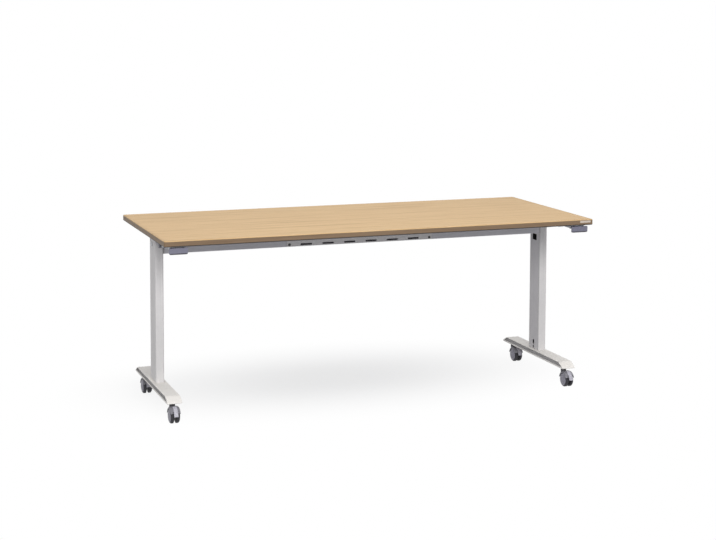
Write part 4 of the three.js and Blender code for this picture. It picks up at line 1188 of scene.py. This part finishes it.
def build_hood(place, axle, label):
    x, y, z = axle
    section = mirrored(HOOD_OUTSIDE) + HOOD_OUTSIDE[::-1] + HOOD_INSIDE + mirrored(HOOD_INSIDE)[::-1]
    hood = arched("caster_hood_%s_moulded" % label, section, HOOD_ANGLES, axle, 40)
    wide = (x - HOOD_HALF_WIDTH, x + HOOD_HALF_WIDTH)
    socket = post("socket", SOCKET_RADIUS, (SOCKET_LOW, SOCKET_TOP), place, 40)
    carve(socket, rod("room", HOOD_INNER, (wide[0] - CUT_PAST, wide[1] + CUT_PAST), y, z, 64))
    hinge = pedal_hinge(axle)
    ears = []
    for way in (-1, 1):
        ear = rod("ear", EAR_RADIUS, (x + way * EAR_NEAR, x + way * EAR_FAR), *hinge)
        ears.append(carve(ear, rod("ear_room", HOOD_INNER, wide, y, z, 64)))
    web_xs = (x - WEB_HALF, x + WEB_HALF)
    web_arc = [around((y, z), WEB_RADIUS, degrees) for degrees in WEB_ANGLES]
    web = prism("web", [(y, z - WEB_DROP)] + web_arc, web_xs, "X")
    unite(hood, socket, web, rod("axle_boss", AXLE_BOSS, web_xs, y, z), *ears)
    through = (x - HOOD_CUT, x + HOOD_CUT)
    stem_zs = (SOCKET_TOP - STEM_SUNK - CUT_PAST, SOCKET_TOP + CUT_PAST)
    carve(
        hood, rod("axle_bore", AXLE_BORE, through, y, z), rod("pedal_bore", PEDAL_BORE, through, *hinge, 20),
        post("stem_bore", STEM_BORE, stem_zs, place))
    finish(soften(hood, 0.35, 45), HOOD_GREY, "hood_plastic", "swivel_" + label, "caster_hood_" + label)


def wheel_profile():
    """Half section of a wheel from its inner side outwards: tread with a groove, dished cover, hub."""
    r = WHEEL_RADIUS
    i = WHEEL_INNER
    o = WHEEL_OUTER
    tread = [
        (WHEEL_BORE, i), (r - 6, i), (r - 1.5, i), (r - 0.4, i + 0.5), (r, i + 1.5), (r, i + 3.3),
        (r - 0.7, i + 3.6), (r - 0.7, i + 4.4), (r, i + 4.7), (r, o - 8), (r - 0.3, o - 7), (r - 1, o - 6),
    ]
    cover = [
        (r - 1.3, o - 5.7), (r - 1.7, o - 5.6), (r - 2.4, o - 4.8), (r - 3.4, o - 3.8), (r - 5.2, o - 2.8),
        (r - 7, o - 2.1), (r - 10, o - 1.3), (r - 13, o - 0.7), (r - 17, o - 0.3), (r - 20, o - 0.1),
        (r - 20.8, o - 0.9), (r - 22, o - 0.9), (r - 22.8, o), (0, o),
    ]
    return tread + cover + [(0, o - 3), (WHEEL_BORE, o - 3)]


def build_wheel(axle, way, place, label):
    """Tread and a dished cover disc on the outer side."""
    profile = [(radius, way * along) for radius, along in wheel_profile()]
    node = "wheel_%s_%s" % (place, label)
    wheel = shade(turned(node + "_moulded", profile, axle, "X", 64))
    finish(wheel, TREAD, "wheel_tread", node, node)

    def is_cover(face):
        offset = face.center / MM - Vector(axle)
        is_outer = way * offset.x > WHEEL_OUTER - WHEEL_COVER_DEPTH
        return is_outer and math.hypot(offset.y, offset.z) < WHEEL_RADIUS - WHEEL_COVER_INSET

    repaint(wheel, COVER_GREY, is_cover)


def build_pedal(axle, label):
    x = axle[0]
    half = PEDAL_HALF_WIDTH
    crest = PEDAL_CREST
    crown = [(half, PEDAL_INNER), (half, crest - 1), (half - 1, crest - 0.2), (half - 3, crest)]
    section = [(-half, PEDAL_INNER)] + crown + mirrored(crown[:0:-1])
    pedal = arched("brake_pedal_%s_moulded" % label, section, PEDAL_ANGLES, axle, 16)
    y, z = pedal_hinge(axle)
    thick = TONGUE_THICKNESS

    def hang(reach, drop, aside=0.0):
        return (y - TONGUE_REACH * reach + aside, z - TONGUE_DROP * drop)

    tongue = prism("tongue", rounded([
        (y + 1, z + 1.8, 0), (*hang(0.26, 0.0), 2), (*hang(0.66, 0.38), 8), (*hang(0.92, 0.8), 8),
        (*hang(1.0, 1.0), 0.9), (*hang(1.0, 1.013, thick), 0.9), (*hang(0.92, 0.8, thick + 0.4), 6),
        (*hang(0.66, 0.42, thick + 0.6), 6), (y - 0.5, z - 2.2, 0),
    ], 1, 4), (x - half, x + half), "X")
    pin_xs = (x - half - PEDAL_PIN_PAST, x + half + PEDAL_PIN_PAST)
    unite(pedal, tongue, rod("pin", PEDAL_PIN_RADIUS, pin_xs, y, z, 24))
    finish(soften(pedal, 0.35, 40), PEDAL_GREY, "pedal_plastic", "pedal_" + label, "brake_pedal_" + label)


def build_caster(side, end, label):
    place = stem_place(side, end)
    axle = (place[0], place[1] - CASTER_TRAIL, WHEEL_RADIUS)
    build_stem(place, label)
    build_hood(place, axle, label)
    build_pin("caster_axle_" + label, AXLE_RADIUS, (-AXLE_END, AXLE_END), axle, "swivel_" + label)
    for way, where in SIDES:
        build_wheel(axle, way, where, label)
    build_pedal(axle, label)


# Setting

def shows_background(tree):
    """One for rays from the camera, from a reflection or through glass, and none for light."""
    path = add_node(tree, "ShaderNodeLightPath")
    seen = path.outputs["Is Camera Ray"]
    for ray in ("Is Glossy Ray", "Is Transmission Ray"):
        seen = calculated(tree, "MAXIMUM", seen, path.outputs[ray])
    return seen


def build_floor():
    """White floor, with a soft oval of shade left under the table."""
    bpy.ops.mesh.primitive_plane_add(size=60)
    floor = bpy.context.object
    floor.name = "floor"
    material, tree, shader = start_material("pale_floor", {"Roughness": 0.8, "Specular IOR Level": 0.1})
    seen = shows_background(tree)
    tone = graded(tree, seen, [(0.0, (0.44, 0.44, 0.45)), (1.0, (0.95, 0.95, 0.95))])
    set_inputs(tree, shader, {"Base Color": tone})
    glow = result(tree, "ShaderNodeEmission", {"Color": (*WHITE, 1.0), "Strength": 1.0})
    oval = stretched(tree, (1.15, 2.0, 1.0), (0.05, -0.38, 0.0))
    away = add_node(tree, "ShaderNodeVectorMath", {0: oval}, operation="LENGTH")
    fade = ranged(tree, away.outputs["Value"], 0.60, 1.0, start=0.1, end=1.45, curve="SMOOTHSTEP")
    share = calculated(tree, "MULTIPLY", seen, fade)
    mix = result(tree, "ShaderNodeMixShader", {0: share, 1: shader.outputs["BSDF"], 2: glow})
    set_inputs(tree, tree.nodes["Material Output"], {"Surface": mix})
    floor.data.materials.append(material)


def build_world():
    world = bpy.data.worlds.new("studio")
    bpy.context.scene.world = world
    world.use_nodes = True
    tree = world.node_tree
    seen = shows_background(tree)
    set_inputs(tree, tree.nodes["Background"], {
        "Color": graded(tree, seen, [(0.0, (0.975, 0.975, 1.0)), (1.0, WHITE)]),
        "Strength": ranged(tree, seen, 0.42, 1.0),
    })


def build_lamp(name, place, size, power):
    lamp = bpy.data.lights.new(name, "AREA")
    lamp.shape = "RECTANGLE"
    lamp.size, lamp.size_y = size
    lamp.energy = power
    holder = new_object(name, lamp)
    holder.location = place
    holder.rotation_mode = "QUATERNION"
    holder.rotation_quaternion = (Vector(LAMP_TARGET) - Vector(place)).to_track_quat("-Z", "Y")


def build_camera():
    """Camera solved from the corners of the top, the columns and the floor points of the casters."""
    place = (-2.1925, -5.9448, 1.6323)
    yaw = math.radians(20.288)
    pitch = math.radians(4.921)
    roll = math.radians(0.212)
    photo_width = 716
    focal_pixels = 1542.3
    rise_pixels = 141.4
    ahead = Vector((math.sin(yaw) * math.cos(pitch), math.cos(yaw) * math.cos(pitch), -math.sin(pitch)))
    level = Vector((math.cos(yaw), -math.sin(yaw), 0.0))
    upright = level.cross(ahead)
    right = level * math.cos(roll) + upright * math.sin(roll)
    up = upright * math.cos(roll) - level * math.sin(roll)
    data = bpy.data.cameras.new("camera")
    camera = new_object("camera", data)
    turn = Matrix((right, up, -ahead)).transposed().to_4x4()
    camera.matrix_world = Matrix.Translation(place) @ turn
    data.sensor_width = 36.0
    data.lens = focal_pixels / photo_width * data.sensor_width
    data.shift_y = -rise_pixels / photo_width
    bpy.context.scene.camera = camera


build_top_board()
build_edge_band()
build_edge_plate()
build_beam()
build_panel()
for side, label in SIDES:
    build_buffer(side, label)
    build_column(side, label)
    build_cover(side, label)
    build_foot(side, label)
    softened_node("beam_end_plate_" + label, 0.4, PLATE_AND_GROOVE_SHADE_GREY, "silver_paint", "frame")
    softened_node("column_base_" + label, 0.5, ZINC, "bare_steel", "frame")
    build_bracket(side, label)
    build_pivot(side, label)
    build_washer(side, -1, "pivot_washer_inner_" + label)
    build_washer(side, 1, "pivot_washer_outer_" + label)
    softened_node("lever_bracket_" + label, 0.4, ZINC, "bare_steel", "top")
    lever_pin = (0, LEVER_PIN_Y, LEVER_PIN_Z)
    build_pin("lever_pin_" + label, LEVER_PIN_RADIUS, across(side, LEVER_EARS), lever_pin, "top")
    build_lever(side, label)
    softened_node("lock_bar_" + label, 0.4, ZINC, "bare_steel", "lock_" + label)
    softened_node("bolt_guide_" + label, 0.5, HOOD_GREY, "hood_plastic", "top")
    build_spring(side, label)
    for end, place in ENDS:
        build_caster(side, end, place + "_" + label)

build_floor()
build_world()
build_lamp("overhead", (0.3, -1.1, 4.4), (2.6, 2.8), 55.0)
build_lamp("front_fill", (-1.4, -4.9, 3.0), (4.5, 1.8), 172.0)
build_camera()
bpy.context.scene.view_settings.view_transform = "Standard"
